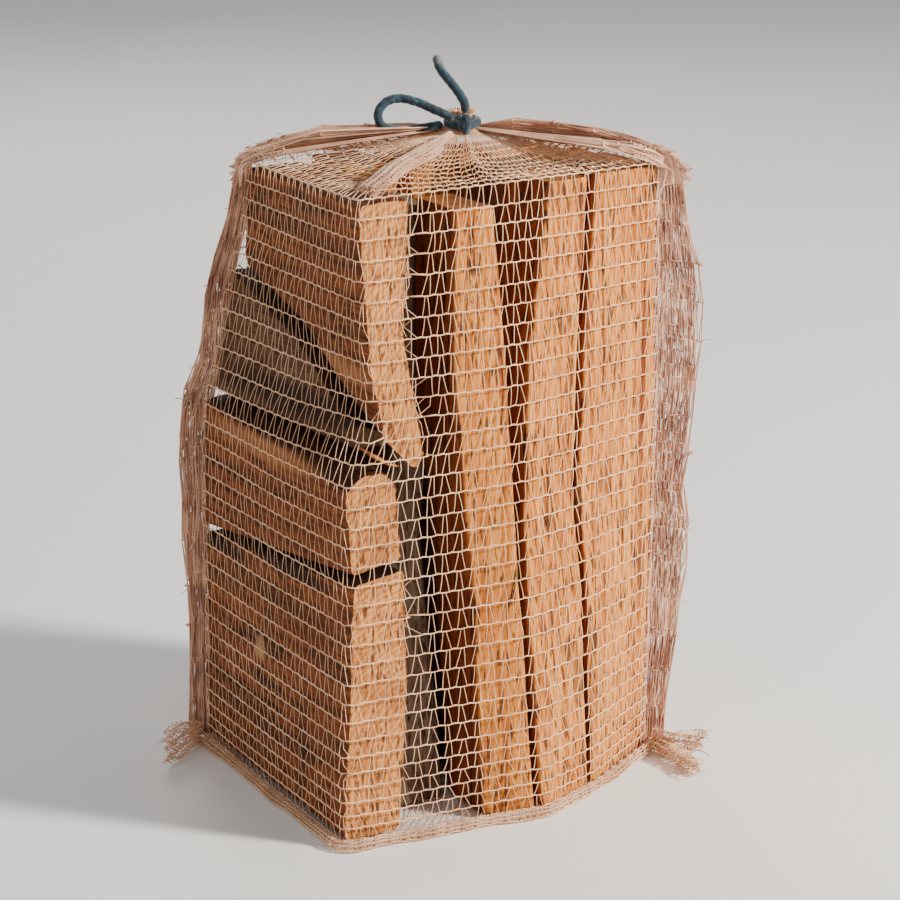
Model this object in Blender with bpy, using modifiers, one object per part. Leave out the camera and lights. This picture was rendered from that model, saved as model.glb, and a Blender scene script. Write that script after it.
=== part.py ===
"""Firewood bundle: split softwood in a knitted net sack that a string ties shut on top.

Units are metres, +Z is up. The blocks of the left column lie crosswise, with their grain along Y,
and every other piece stands on its sawn end. The bundle stands with its middle over the origin.
"""
import math

import bmesh
import bpy
from mathutils import Vector, noise

# Driving dimensions
STICK_LENGTH = 0.330       # common sawn length of kitchen firewood
STICK_FOOT = 0.003         # height of the standing ends, on the net
ARRIS_CUT = 0.0022         # worn width of each long edge of the wood
LEVEL_STEP = 0.036         # distance between the rings of a piece
SPLIT_RELIEF = 0.0012      # depth of the torn grain on a split face
BARK_RELIEF = 0.0030       # depth of the furrows in bark
THREAD = 0.0018            # thickness of a strand of the net
NET_CLEARANCE = 0.0026     # from the wood to the middle of a strand
CORNER_CUT = 0.0035        # how far the net rounds a corner of the pile
NET_ROWS = 10
NET_RIM = 0.3345           # height where the net turns over the sawn ends
NECK = Vector((0.013, 0.012, 0.3475))
NECK_RADIUS = 0.005
STRING_RADIUS = 0.0027
TOUCH_GAP = 0.0003

COLUMN = "upright"
CROSSWISE = "crosswise"

# Upright pieces: (height, corners in plan), from the foot to the top
STANDING = {
    "stick_centre": ((STICK_FOOT, ((-0.036, -0.085), (-0.005, -0.095), (-0.005, -0.050), (-0.034, -0.046))),
                     (0.120, ((-0.0355, -0.076), (-0.0078, -0.083), (-0.009, -0.041), (-0.036, -0.037))),
                     (0.240, ((-0.0415, -0.0675), (-0.0095, -0.071), (-0.013, -0.033), (-0.043, -0.029))),
                     (0.321, ((-0.037, -0.0615), (-0.013, -0.063), (-0.016, -0.026), (-0.039, -0.024)))),
    "stick_right": ((STICK_FOOT, ((-0.0035, -0.096), (0.0355, -0.0845), (0.034, -0.044), (-0.001, -0.048))),
                    (0.120, ((-0.0062, -0.0835), (0.0345, -0.076), (0.032, -0.037), (-0.005, -0.040))),
                    (0.160, ((-0.005, -0.0795), (0.0302, -0.0735), (0.030, -0.036), (-0.006, -0.038))),
                    (0.240, ((0.0015, -0.071), (0.0355, -0.068), (0.033, -0.028), (0.0, -0.031))),
                    (0.329, ((0.0175, -0.063), (0.045, -0.062), (0.042, -0.022), (0.014, -0.024)))),
    "stick_far_right": ((STICK_FOOT, ((0.0366, -0.084), (0.091, -0.056), (0.090, -0.016), (0.038, -0.038))),
                        (0.120, ((0.0358, -0.076), (0.0915, -0.058), (0.090, -0.014), (0.036, -0.034))),
                        (0.160, ((0.0315, -0.073), (0.091, -0.0585), (0.089, -0.012), (0.033, -0.032))),
                        (0.240, ((0.037, -0.068), (0.090, -0.0596), (0.088, -0.010), (0.036, -0.024))),
                        (STICK_LENGTH, ((0.0465, -0.062), (0.088, -0.061), (0.086, -0.014), (0.045, -0.018)))),
    "stick_weathered": ((STICK_FOOT, ((-0.068, -0.056), (-0.0385, -0.056), (-0.026, -0.006), (-0.066, -0.004))),
                        (0.150, ((-0.066, -0.036), (-0.0405, -0.036), (-0.028, 0.003), (-0.065, 0.005))),
                        (0.190, ((-0.055, -0.031), (-0.030, -0.029), (-0.028, 0.005), (-0.055, 0.007))),
                        (0.316, ((-0.053, -0.026), (-0.026, -0.021), (-0.025, 0.012), (-0.052, 0.014)))),
    "stick_inner_left": ((STICK_FOOT, ((-0.022, -0.043), (0.012, -0.043), (0.014, -0.004), (-0.020, -0.004))),
                         (0.120, ((-0.024, -0.035), (0.010, -0.035), (0.012, 0.002), (-0.022, 0.002))),
                         (0.304, ((-0.021, -0.020), (0.010, -0.020), (0.012, 0.012), (-0.020, 0.012)))),
    "stick_inner_middle": ((STICK_FOOT, ((0.017, -0.041), (0.033, -0.041), (0.050, -0.029),
                                         (0.052, 0.004), (0.018, -0.002))),
                           (0.120, ((0.017, -0.034), (0.032, -0.033), (0.050, -0.025),
                                    (0.052, 0.008), (0.018, 0.004))),
                           (0.240, ((0.016, -0.025), (0.033, -0.023), (0.048, -0.017),
                                    (0.050, 0.014), (0.016, 0.012))),
                           (0.326, ((0.017, -0.019), (0.042, -0.017), (0.050, -0.013),
                                    (0.050, 0.018), (0.016, 0.016)))),
    "stick_inner_right": ((STICK_FOOT, ((0.054, -0.026), (0.088, -0.012), (0.090, 0.014), (0.056, 0.010))),
                          (0.120, ((0.054, -0.022), (0.088, -0.010), (0.089, 0.018), (0.056, 0.014))),
                          (0.240, ((0.053, -0.015), (0.087, -0.006), (0.087, 0.024), (0.054, 0.020))),
                          (0.328, ((0.054, -0.011), (0.086, -0.009), (0.085, 0.026), (0.054, 0.022)))),
    "stick_back_left": ((STICK_FOOT, ((-0.068, 0.002), (-0.024, 0.0), (-0.022, 0.062), (-0.066, 0.066))),
                        (0.160, ((-0.066, 0.010), (-0.024, 0.008), (-0.024, 0.062), (-0.064, 0.064))),
                        (0.190, ((-0.055, 0.012), (-0.024, 0.010), (-0.024, 0.061), (-0.054, 0.063))),
                        (STICK_LENGTH, ((-0.054, 0.020), (-0.022, 0.017), (-0.024, 0.058), (-0.053, 0.060)))),
    "quarter_log_back": ((STICK_FOOT, ((-0.018, -0.001), (0.030, 0.004), (0.033, 0.048),
                                       (0.022, 0.064), (0.004, 0.069), (-0.016, 0.062))),
                         (STICK_LENGTH, ((-0.017, 0.015), (0.028, 0.020), (0.031, 0.048),
                                         (0.020, 0.059), (0.002, 0.063), (-0.018, 0.059)))),
    "quarter_log_corner": ((STICK_FOOT, ((0.037, 0.010), (0.054, 0.015), (0.090, 0.020),
                                         (0.087, 0.048), (0.068, 0.066), (0.039, 0.068))),
                           (0.327, ((0.035, 0.024), (0.054, 0.027), (0.086, 0.031),
                                    (0.083, 0.048), (0.066, 0.058), (0.037, 0.060)))),
}

# Crosswise blocks: corners of each outline, from the front end to the back end
CROSS_BLOCKS = {
    "block_upper_left": (((-0.091, -0.061, 0.330), (-0.061, -0.061, 0.330), (-0.066, -0.064, 0.262),
                          (-0.056, -0.067, 0.197), (-0.063, -0.067, 0.191), (-0.079, -0.066, 0.208),
                          (-0.087, -0.065, 0.244)),
                         ((-0.092, -0.030, 0.331), (-0.060, -0.030, 0.331), (-0.061, -0.030, 0.266),
                          (-0.060, -0.030, 0.228), (-0.066, -0.030, 0.221), (-0.083, -0.030, 0.229),
                          (-0.090, -0.030, 0.252)),
                         ((-0.092, 0.005, 0.331), (-0.058, 0.005, 0.331), (-0.058, 0.005, 0.292),
                          (-0.058, 0.005, 0.262), (-0.066, 0.005, 0.252), (-0.085, 0.005, 0.253),
                          (-0.091, 0.005, 0.266)),
                         ((-0.092, 0.0540, 0.329), (-0.058, 0.0540, 0.329), (-0.058, 0.0587, 0.302),
                          (-0.059, 0.0624, 0.280), (-0.068, 0.0640, 0.271), (-0.086, 0.0640, 0.271),
                          (-0.091, 0.0625, 0.276))),
    "block_recessed": (((-0.084, -0.044, 0.215), (-0.063, -0.044, 0.2065), (-0.062, -0.044, 0.1985),
                        (-0.085, -0.044, 0.1990)),
                       ((-0.087, -0.030, 0.222), (-0.062, -0.030, 0.217), (-0.061, -0.030, 0.2000),
                        (-0.089, -0.030, 0.2005)),
                       ((-0.090, 0.005, 0.249), (-0.062, 0.005, 0.248), (-0.060, 0.005, 0.2018),
                        (-0.096, 0.005, 0.2022)),
                       ((-0.093, 0.072, 0.272), (-0.061, 0.072, 0.271), (-0.060, 0.072, 0.2048),
                        (-0.106, 0.072, 0.2050))),
    "block_middle_left": (((-0.104, -0.068, 0.186), (-0.094, -0.067, 0.195), (-0.080, -0.067, 0.195),
                           (-0.073, -0.068, 0.186), (-0.072, -0.071, 0.147), (-0.102, -0.070, 0.143)),
                          ((-0.108, -0.010, 0.197), (-0.098, -0.010, 0.200), (-0.078, -0.010, 0.200),
                           (-0.072, -0.010, 0.195), (-0.072, -0.010, 0.139), (-0.107, -0.010, 0.137)),
                          ((-0.111, 0.0732, 0.2015), (-0.100, 0.0730, 0.2035), (-0.080, 0.0730, 0.2035),
                           (-0.074, 0.0735, 0.199), (-0.073, 0.0810, 0.127), (-0.110, 0.0811, 0.126))),
    "block_lower_left": (((-0.112, -0.077, 0.003), (-0.080, -0.081, 0.003), (-0.072, -0.076, 0.080),
                          (-0.072, -0.073, 0.144), (-0.101, -0.072, 0.140), (-0.106, -0.074, 0.080)),
                         ((-0.113, 0.0, 0.003), (-0.077, 0.0, 0.003), (-0.073, 0.0, 0.070),
                          (-0.073, 0.0, 0.136), (-0.107, 0.0, 0.1340), (-0.110, 0.0, 0.070)),
                         ((-0.112, 0.0800, 0.003), (-0.076, 0.0800, 0.003), (-0.074, 0.0795, 0.060),
                          (-0.074, 0.0790, 0.124), (-0.110, 0.0790, 0.1252), (-0.111, 0.0795, 0.060))),
}

# Colours of the wood, linear RGB
PALE_SAPWOOD = (0.62, 0.38, 0.17)
WARM_SPLIT = (0.45, 0.24, 0.11)
GREY_WEATHERED = (0.23, 0.21, 0.17)
BROWN_BARK = (0.16, 0.09, 0.05)
NET_CREAM = (0.60, 0.42, 0.30)
STRING_TEAL = (0.03, 0.13, 0.19)

WOOD_COLOURS = {
    "stick_weathered": GREY_WEATHERED,
    "block_recessed": GREY_WEATHERED,
    "quarter_log_back": BROWN_BARK,
    "quarter_log_corner": BROWN_BARK,
    "block_upper_left": WARM_SPLIT,
    "block_middle_left": WARM_SPLIT,
    "block_lower_left": WARM_SPLIT,
}
BARKED = ("quarter_log_back", "quarter_log_corner")

# The string: points along the middle of the loop and of the tail, by hand
LOOP_POINTS = ((0.0028, 0.0036, 0.3520), (-0.0010, 0.0062, 0.3545), (-0.0060, 0.0110, 0.3572),
               (-0.0110, 0.0158, 0.3600), (-0.0180, 0.0215, 0.3620), (-0.0245, 0.0252, 0.3605),
               (-0.0295, 0.0260, 0.3545), (-0.0270, 0.0245, 0.3475), (-0.0160, 0.0200, 0.3457),
               (-0.0050, 0.0150, 0.3470), (0.0012, 0.0118, 0.3482))
TAIL_POINTS = ((0.0079, 0.0014, 0.3553), (0.0074, 0.0004, 0.3600), (0.0060, 0.0045, 0.3656),
               (0.0036, 0.0098, 0.3712), (0.0010, 0.0142, 0.3768), (-0.0004, 0.0165, 0.3838))


def clear_scene():
    """Remove what the new file holds."""
    for item in list(bpy.data.objects):
        bpy.data.objects.remove(item, do_unlink=True)


def make_collection(name):
    collection = bpy.data.collections.new(name)
    bpy.context.scene.collection.children.link(collection)
    return collection


def make_material(name, colour, roughness):
    material = bpy.data.materials.new(name)
    material.use_nodes = True
    shader = material.node_tree.nodes["Principled BSDF"]
    shader.inputs["Base Color"].default_value = (*colour, 1.0)
    shader.inputs["Roughness"].default_value = roughness
    shader.inputs["Metallic"].default_value = 0.0
    return material


def object_from_bmesh(name, mesh_builder, collection, material):
    """Turn a finished bmesh into a named object with its own material."""
    bmesh.ops.recalc_face_normals(mesh_builder, faces=mesh_builder.faces)
    mesh = bpy.data.meshes.new(name)
    mesh_builder.to_mesh(mesh)
    mesh_builder.free()
    item = bpy.data.objects.new(name, mesh)
    collection.objects.link(item)
    if material is not None:
        mesh.materials.append(material)
    return item


def worn_ring(corners, side_steps, cut):
    """Points round an outline whose corners are worn off, with each side in side_steps pieces."""
    ring = []
    count = len(corners)
    for index, corner in enumerate(corners):
        before = corners[index - 1]
        after = corners[(index + 1) % count]
        to_before = (before - corner).normalized()
        to_after = (after - corner).normalized()
        ring.append(corner + to_before * min(cut, 0.4 * (before - corner).length))
        start = corner + to_after * min(cut, 0.4 * (after - corner).length)
        end = after - to_after * min(cut, 0.4 * (after - corner).length)
        for step in range(side_steps):
            ring.append(start.lerp(end, step / side_steps))
    return ring


def loft(name, rings, collection, material):
    """Skin a list of rings that have the same number of points, and close both ends."""
    builder = bmesh.new()
    rows = [[builder.verts.new(point) for point in ring] for ring in rings]
    count = len(rows[0])
    for lower, upper in zip(rows, rows[1:]):
        for index in range(count):
            after = (index + 1) % count
            builder.faces.new((lower[index], lower[after], upper[after], upper[index]))
    for row in (rows[0], rows[-1]):
        centre = builder.verts.new(sum((vertex.co for vertex in row), Vector()) / count)
        for index in range(count):
            builder.faces.new((row[index], row[(index + 1) % count], centre))
    return object_from_bmesh(name, builder, collection, material)


def lerp_outline(lower, upper, share):
    return [start.lerp(end, share) for start, end in zip(lower, upper)]


def split_wood(name, outlines, grain, collection):
    """One split piece: outlines joined by straight grain, with relief torn along it."""
    colour = WOOD_COLOURS.get(name, PALE_SAPWOOD)
    depth = BARK_RELIEF if name in BARKED else SPLIT_RELIEF
    along = 2 if grain == COLUMN else 1
    seed = Vector((len(name) * 3.1, sum(map(ord, name)) * 0.37, 1.7))
    rings = []
    for index, (lower, upper) in enumerate(zip(outlines, outlines[1:])):
        distance = (upper[0] - lower[0]).length
        steps = max(1, round(distance / LEVEL_STEP))
        first = 0 if index == 0 else 1
        for step in range(first, steps + 1):
            corners = lerp_outline(lower, upper, step / steps)
            ring = worn_ring(corners, 2, ARRIS_CUT)
            centre = sum(ring, Vector()) / len(ring)
            rings.append([tear(point, centre, along, seed, depth) for point in ring])
    return loft(name, rings, collection, make_material(name, colour, 0.85))


def tear(point, centre, along, seed, depth):
    """Move a point inward by a noise that changes slowly along the grain and fast across it."""
    across_scale = 70.0
    along_scale = 9.0
    sample = Vector([point[axis] * (along_scale if axis == along else across_scale) for axis in range(3)])
    amount = depth * (0.5 + 0.5 * max(-1.0, min(1.0, 1.6 * noise.noise(sample + seed))))
    inward = centre - point
    inward[along] = 0.0
    return point + inward.normalized() * amount


def make_wood(collection):
    pieces = []
    for name, levels in STANDING.items():
        outlines = [[Vector((x, y, height)) for x, y in corners] for height, corners in levels]
        pieces.append(split_wood(name, outlines, COLUMN, collection))
    for name, sections in CROSS_BLOCKS.items():
        outlines = [[Vector(corner) for corner in section] for section in sections]
        pieces.append(split_wood(name, outlines, CROSSWISE, collection))
    return pieces


def supporting_line(points, normal):
    """Distance of the line with this normal that just clears all the points."""
    return max(point.x * normal.x + point.y * normal.y for point in points) + NET_CLEARANCE


def line_crossing(first, first_distance, second, second_distance, height):
    determinant = first.x * second.y - first.y * second.x
    x = (first_distance * second.y - second_distance * first.y) / determinant
    y = (first.x * second_distance - second.x * first_distance) / determinant
    return Vector((x, y, height))


def pile_corners(points, height, reach):
    """The five corners of the pile's outline near this height, with the net's clearance."""
    near = [point for point in points if abs(point.z - height) <= reach]
    rise = height / NET_RIM
    front_right = Vector((0.385, -0.923)).lerp(Vector((0.03, -1.0)), rise).normalized()
    front_left = Vector((-0.175, -0.985)).lerp(Vector((-0.03, -1.0)), rise).normalized()
    back = Vector((0.066, 1.0)).lerp(Vector((-0.03, 1.0)), rise).normalized()
    normals = (Vector((-1.0, 0.0)), front_left, front_right, Vector((1.0, 0.0)), back)
    distances = [supporting_line(near, normal) for normal in normals]
    corners = []
    for index, normal in enumerate(normals):
        after = (index + 1) % len(normals)
        corners.append(line_crossing(normal, distances[index], normals[after], distances[after], height))
    return corners


def net_ring(corners):
    """Net columns round the five corners: two at each square corner, and some along each side."""
    side_columns = (2, 2, 2, 3, 2)
    ring = []
    for index, corner in enumerate(corners):
        before = corners[index - 1]
        after = corners[(index + 1) % len(corners)]
        shallow = index == 1
        if not shallow:
            ring.append(corner + (before - corner).normalized() * CORNER_CUT)
        start = corner if shallow else corner + (after - corner).normalized() * CORNER_CUT
        next_shallow = index == 0
        end = after if next_shallow else after + (corner - after).normalized() * CORNER_CUT
        pieces = side_columns[index]
        for step in range(pieces):
            ring.append(start.lerp(end, step / pieces))
    return ring


def seam_feet(left_ear, right_ear):
    """Where the net's columns end: evenly along both sides of the bottom seam, from ear to ear."""
    front_columns = (13, 14, 0, 1, 2, 3, 4, 5)
    back_columns = (12, 11, 10, 9, 8, 7, 6)
    run = right_ear - left_ear
    side = Vector((run.y, -run.x, 0.0)).normalized()
    feet = {}
    for columns, offset in ((front_columns, 0.0017), (back_columns, -0.0017)):
        for place, column in enumerate(columns):
            share = (place + 0.6) / (len(columns) + 0.2)
            feet[column] = left_ear + run * share + side * offset
    return [feet[column] for column in sorted(feet)]


def neck_circle(radius, count, first_direction):
    """Points at even angles round the neck, in the order of the net's columns."""
    start = math.atan2(first_direction.y, first_direction.x)
    circle = []
    for column in range(count):
        angle = start + 2 * math.pi * column / count
        circle.append(Vector((NECK.x + radius * math.cos(angle), NECK.y + radius * math.sin(angle), 0.0)))
    return circle


def ring_toward(outer, inner, share, height):
    """A ring of the net part of the way from one ring to the next, at its own height."""
    ring = []
    for start, end in zip(outer, inner):
        place = start.lerp(end, share)
        place.z = height
        ring.append(place)
    return ring


def net_lattice(wood_points, collection, material):
    """The stretched net: one surface of rings round the pile, turned into open strands."""
    reach = 1.05 * LEVEL_STEP
    floor_height = THREAD / 2 + 0.0001
    corners_by_row = []
    rings = []
    for row in range(NET_ROWS + 1):
        height = floor_height + (NET_RIM - floor_height) * row / NET_ROWS
        corners = pile_corners(wood_points, height, reach)
        corners_by_row.append(corners)
        rings.append(net_ring(corners))
    lowest = rings[0]
    feet = seam_feet(corners_by_row[0][4], corners_by_row[0][2])
    for share in (0.36, 0.70, 1.0):
        rings.insert(0, ring_toward(lowest, feet, share, floor_height))
    highest = rings[-1]
    circle = neck_circle(0.017, len(highest), highest[0] - NECK)
    for share, height in ((0.48, 0.3385), (1.0, 0.3415)):
        rings.append(ring_toward(highest, circle, share, height))
    builder = bmesh.new()
    rows = [[builder.verts.new(point) for point in ring] for ring in rings]
    count = len(rows[0])
    for lower, upper in zip(rows, rows[1:]):
        for index in range(count):
            after = (index + 1) % count
            builder.faces.new((lower[index], lower[after], upper[after], upper[index]))
    lattice = object_from_bmesh("net_sack", builder, collection, material)
    strands = lattice.modifiers.new("strands", 'WIREFRAME')
    strands.thickness = THREAD
    strands.use_boundary = True
    strands.use_replace = True
    strands.use_even_offset = False
    return lattice, corners_by_row


def gathered_neck(collection):
    """Pleated cone where the sack's mouth is drawn together, with a small ruffle above the string."""
    pleats = 11
    profile = ((0.036, 0.3380, 0.10), (0.037, 0.3395, 0.10), (0.022, 0.3420, 0.16), (0.012, 0.3432, 0.10),
               (NECK_RADIUS, 0.3446, 0.0), (NECK_RADIUS, 0.3532, 0.0), (0.0072, 0.3564, 0.20))
    rings = []
    for radius, height, ripple in profile:
        ring = []
        for index in range(2 * pleats):
            angle = math.pi * index / pleats
            reach = radius * (1.0 + ripple * (1 if index % 2 else -1))
            ring.append(Vector((NECK.x + reach * math.cos(angle), NECK.y + reach * math.sin(angle), height)))
        rings.append(ring)
    return loft("neck_cutter", rings, collection, None)


def seam_flange(name, corners_by_row, outward, widths, collection):
    """Bunched side seam standing off a corner of the sack, with a wavy edge."""
    thickness = 0.0024
    root = 0.0034
    sideways = Vector((-outward.y, outward.x, 0.0))
    rings = []
    last = len(corners_by_row) - 1
    for row, corner in enumerate(corners_by_row):
        sway = 0.0018 * math.sin(1.9 * row)
        width = widths[min(row * len(widths) // (last + 1), len(widths) - 1)]
        inner = corner - outward * root
        middle = corner + outward * 0.45 * width + sideways * sway
        outer = corner + outward * width * (1.0 + 0.18 * math.sin(2.7 * row)) - sideways * sway
        half = sideways * thickness / 2
        lift = Vector((0.0, 0.0, 0.004 if row == 0 else -0.003 if row == last else 0.0))
        outline = (inner - half, middle - half, outer - half, outer + half, middle + half, inner + half)
        rings.append([point + lift for point in outline])
    return loft(name, rings, collection, None)


def ear(name, stations, collection):
    """Flattened bunch of net at a bottom corner: (middle, height, thickness) at each station."""
    points_round = 8
    first = stations[0][0]
    last = stations[-1][0]
    outward = (last - first).normalized()
    sideways = Vector((-outward.y, outward.x, 0.0)).normalized()
    rings = []
    for middle, height, thickness in stations:
        ring = []
        for index in range(points_round):
            angle = 2 * math.pi * index / points_round
            ring.append(middle + sideways * (thickness / 2 * math.cos(angle))
                        + Vector((0.0, 0.0, height / 2 * math.sin(angle))))
        rings.append(ring)
    return loft(name, rings, collection, None)


def bottom_band(left_ear, right_ear, collection):
    """Flat seam under the pile, from ear to ear. Its underside is what the bundle rests on."""
    width = 0.012
    thickness = 0.0022
    run = right_ear - left_ear
    bpy.ops.mesh.primitive_cube_add(size=1.0)
    band = bpy.context.object
    band.name = "band_cutter"
    band.scale = (run.length - 0.006, width, thickness)
    band.rotation_euler = (0.0, 0.0, math.atan2(run.y, run.x))
    middle = (left_ear + right_ear) / 2
    band.location = (middle.x, middle.y, thickness / 2)
    move_to_collection(band, collection)
    return band


def move_to_collection(item, collection):
    for holder in list(item.users_collection):
        holder.objects.unlink(item)
    collection.objects.link(item)


def join_to(target, cutters):
    """Fuse the cutters into the target, and hide them as guides."""
    for cutter in cutters:
        fuse = target.modifiers.new(cutter.name, 'BOOLEAN')
        fuse.operation = 'UNION'
        fuse.solver = 'EXACT'
        fuse.object = cutter
        cutter.hide_render = True
        cutter.display_type = 'WIRE'


def make_net_sack(wood, parts, cutters):
    wood_points = [vertex.co for piece in wood for vertex in piece.data.vertices]
    material = make_material("net_sack", NET_CREAM, 0.6)
    lattice, corners_by_row = net_lattice(wood_points, parts, material)
    left_ear = corners_by_row[0][4]
    right_ear = corners_by_row[0][2]
    left_out = Vector((-0.75, 0.66, 0.0)).normalized()
    right_out = Vector((0.95, -0.31, 0.0)).normalized()
    left_seam = seam_flange("left_seam_cutter", [row[4] for row in corners_by_row], left_out,
                            (0.006, 0.007, 0.010, 0.009, 0.007, 0.006), cutters)
    right_seam = seam_flange("right_seam_cutter", [row[2] for row in corners_by_row], right_out,
                             (0.007, 0.012, 0.016, 0.019, 0.019, 0.014), cutters)
    left_lobe = ear("left_ear_cutter", (
        (left_ear + left_out * 0.0005 + Vector((0.0, 0.0, 0.008)), 0.015, 0.007),
        (Vector((-0.128, 0.070, 0.0105)), 0.018, 0.008),
        (Vector((-0.140, 0.062, 0.0125)), 0.024, 0.007),
        (Vector((-0.147, 0.057, 0.0130)), 0.018, 0.005)), cutters)
    right_upper = ear("right_ear_upper_cutter", (
        (right_ear + right_out * 0.0005 + Vector((0.0, 0.0, 0.008)), 0.014, 0.007),
        (Vector((0.098, -0.074, 0.0095)), 0.012, 0.009),
        (Vector((0.108, -0.086, 0.0120)), 0.010, 0.006)), cutters)
    right_lower = ear("right_ear_lower_cutter", (
        (right_ear + right_out * 0.0005 + Vector((0.0, 0.0, 0.006)), 0.011, 0.008),
        (Vector((0.094, -0.082, 0.0060)), 0.010, 0.011),
        (Vector((0.092, -0.099, 0.0050)), 0.008, 0.007)), cutters)
    join_to(lattice, (gathered_neck(cutters), bottom_band(left_ear, right_ear, cutters),
                      left_seam, right_seam, left_lobe, right_upper, right_lower))
    return lattice


def smooth_route(points, spacing):
    """Points at even spacing on a smooth curve through the hand-set points."""
    route = [Vector(point) for point in points]
    padded = [2 * route[0] - route[1]] + route + [2 * route[-1] - route[-2]]
    fine = []
    fine_steps = 16
    for index in range(1, len(padded) - 2):
        before, start, end, after = padded[index - 1:index + 3]
        for step in range(fine_steps):
            share = step / fine_steps
            fine.append(0.5 * (2 * start + (end - before) * share
                               + (2 * before - 5 * start + 4 * end - after) * share ** 2
                               + (3 * start - before - 3 * end + after) * share ** 3))
    fine.append(route[-1])
    kept = [fine[0]]
    walked = 0.0
    for previous, point in zip(fine, fine[1:]):
        walked += (point - previous).length
        if walked >= spacing:
            kept.append(point)
            walked = 0.0
    if (kept[-1] - fine[-1]).length < spacing / 2:
        kept.pop()
    kept.append(fine[-1])
    return kept


def string_tube(name, points, collection):
    curve = bpy.data.curves.new(name, 'CURVE')
    curve.dimensions = '3D'
    curve.bevel_depth = STRING_RADIUS
    curve.bevel_resolution = 2
    curve.use_fill_caps = True
    spline = curve.splines.new('POLY')
    route = smooth_route(points, 2.2 * STRING_RADIUS)
    spline.points.add(len(route) - 1)
    for target, point in zip(spline.points, route):
        target.co = (*point, 1.0)
    curve.materials.append(make_material(name, STRING_TEAL, 0.8))
    item = bpy.data.objects.new(name, curve)
    collection.objects.link(item)
    return item


def make_tie(parts, cutters):
    """The string's turn round the neck with its knot, and the loop and tail that leave the knot."""
    turn_radius = NECK_RADIUS + TOUCH_GAP + STRING_RADIUS
    bpy.ops.mesh.primitive_torus_add(major_radius=turn_radius, minor_radius=STRING_RADIUS,
                                     major_segments=20, minor_segments=8,
                                     location=(NECK.x, NECK.y, NECK.z + 0.0010))
    turn = bpy.context.object
    turn.name = "string_knot"
    turn.data.materials.append(make_material("string_knot", STRING_TEAL, 0.8))
    turn.data.shade_smooth()
    move_to_collection(turn, parts)
    toward_viewer = Vector((-0.46, -0.89, 0.0))
    knot_place = Vector((NECK.x, NECK.y, NECK.z + 0.0026)) + toward_viewer * (turn_radius + 0.0020)
    bpy.ops.mesh.primitive_ico_sphere_add(subdivisions=2, radius=0.0048, location=knot_place)
    knot = bpy.context.object
    knot.name = "knot_cutter"
    knot.scale = (1.0, 0.86, 0.95)
    move_to_collection(knot, cutters)
    join_to(turn, (knot,))
    string_tube("string_loop", LOOP_POINTS, parts)
    string_tube("string_tail", TAIL_POINTS, parts)


def middle_in_plan(items):
    """Middle of the box round these objects, seen from above."""
    bpy.context.view_layer.update()
    graph = bpy.context.evaluated_depsgraph_get()
    corners = []
    for item in items:
        shape = item.evaluated_get(graph)
        corners += [shape.matrix_world @ Vector(corner) for corner in shape.bound_box]
    xs = [corner.x for corner in corners]
    ys = [corner.y for corner in corners]
    return Vector(((min(xs) + max(xs)) / 2, (min(ys) + max(ys)) / 2, 0.0))


def carry_on_stand(items, middle, collection):
    """Parent the objects to one empty, which brings the middle of the bundle over the origin."""
    stand = bpy.data.objects.new("bundle_stand", None)
    collection.objects.link(stand)
    for item in items:
        item.parent = stand
    stand.location = -middle


def main():
    clear_scene()
    parts = make_collection("firewood_bundle")
    cutters = make_collection("cutters")
    wood = make_wood(parts)
    net_sack = make_net_sack(wood, parts, cutters)
    middle = middle_in_plan(wood + [net_sack])
    make_tie(parts, cutters)
    carry_on_stand(list(parts.objects) + list(cutters.objects), middle, parts)


main()
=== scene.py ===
"""Looks of the firewood bundle: torn wood grain, the knitted net, and the teal string that ties it."""
import math

import bpy
import numpy as np
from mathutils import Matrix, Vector
from mathutils.bvhtree import BVHTree


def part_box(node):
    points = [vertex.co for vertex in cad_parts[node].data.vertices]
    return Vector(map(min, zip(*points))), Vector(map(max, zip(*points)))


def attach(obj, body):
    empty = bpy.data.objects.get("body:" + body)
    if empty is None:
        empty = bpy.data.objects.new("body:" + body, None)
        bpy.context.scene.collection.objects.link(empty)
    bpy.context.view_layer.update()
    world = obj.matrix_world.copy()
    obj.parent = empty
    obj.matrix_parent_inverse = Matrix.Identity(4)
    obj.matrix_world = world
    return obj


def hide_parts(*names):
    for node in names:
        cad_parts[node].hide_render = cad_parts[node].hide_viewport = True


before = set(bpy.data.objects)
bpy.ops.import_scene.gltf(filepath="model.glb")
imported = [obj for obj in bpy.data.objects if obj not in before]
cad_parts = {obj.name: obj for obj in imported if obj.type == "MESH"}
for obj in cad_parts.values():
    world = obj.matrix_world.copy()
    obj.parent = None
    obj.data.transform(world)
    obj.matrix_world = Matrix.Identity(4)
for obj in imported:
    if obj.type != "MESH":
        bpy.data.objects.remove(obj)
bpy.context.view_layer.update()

# Where the middle of the bundle lies in the plan that the pile is drawn in
SHIFT = np.array((0.01849, 0.00417, 0.0))

# Camera, as in the photograph
CAMERA_AZIMUTH = math.radians(-31.2)
CAMERA_ELEVATION = math.radians(17.88)
CAMERA_DISTANCE = 1.341
CAMERA_LENS = 100.0
CAMERA_SIDE = -0.0015
CAMERA_HEIGHT = 0.174

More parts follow.
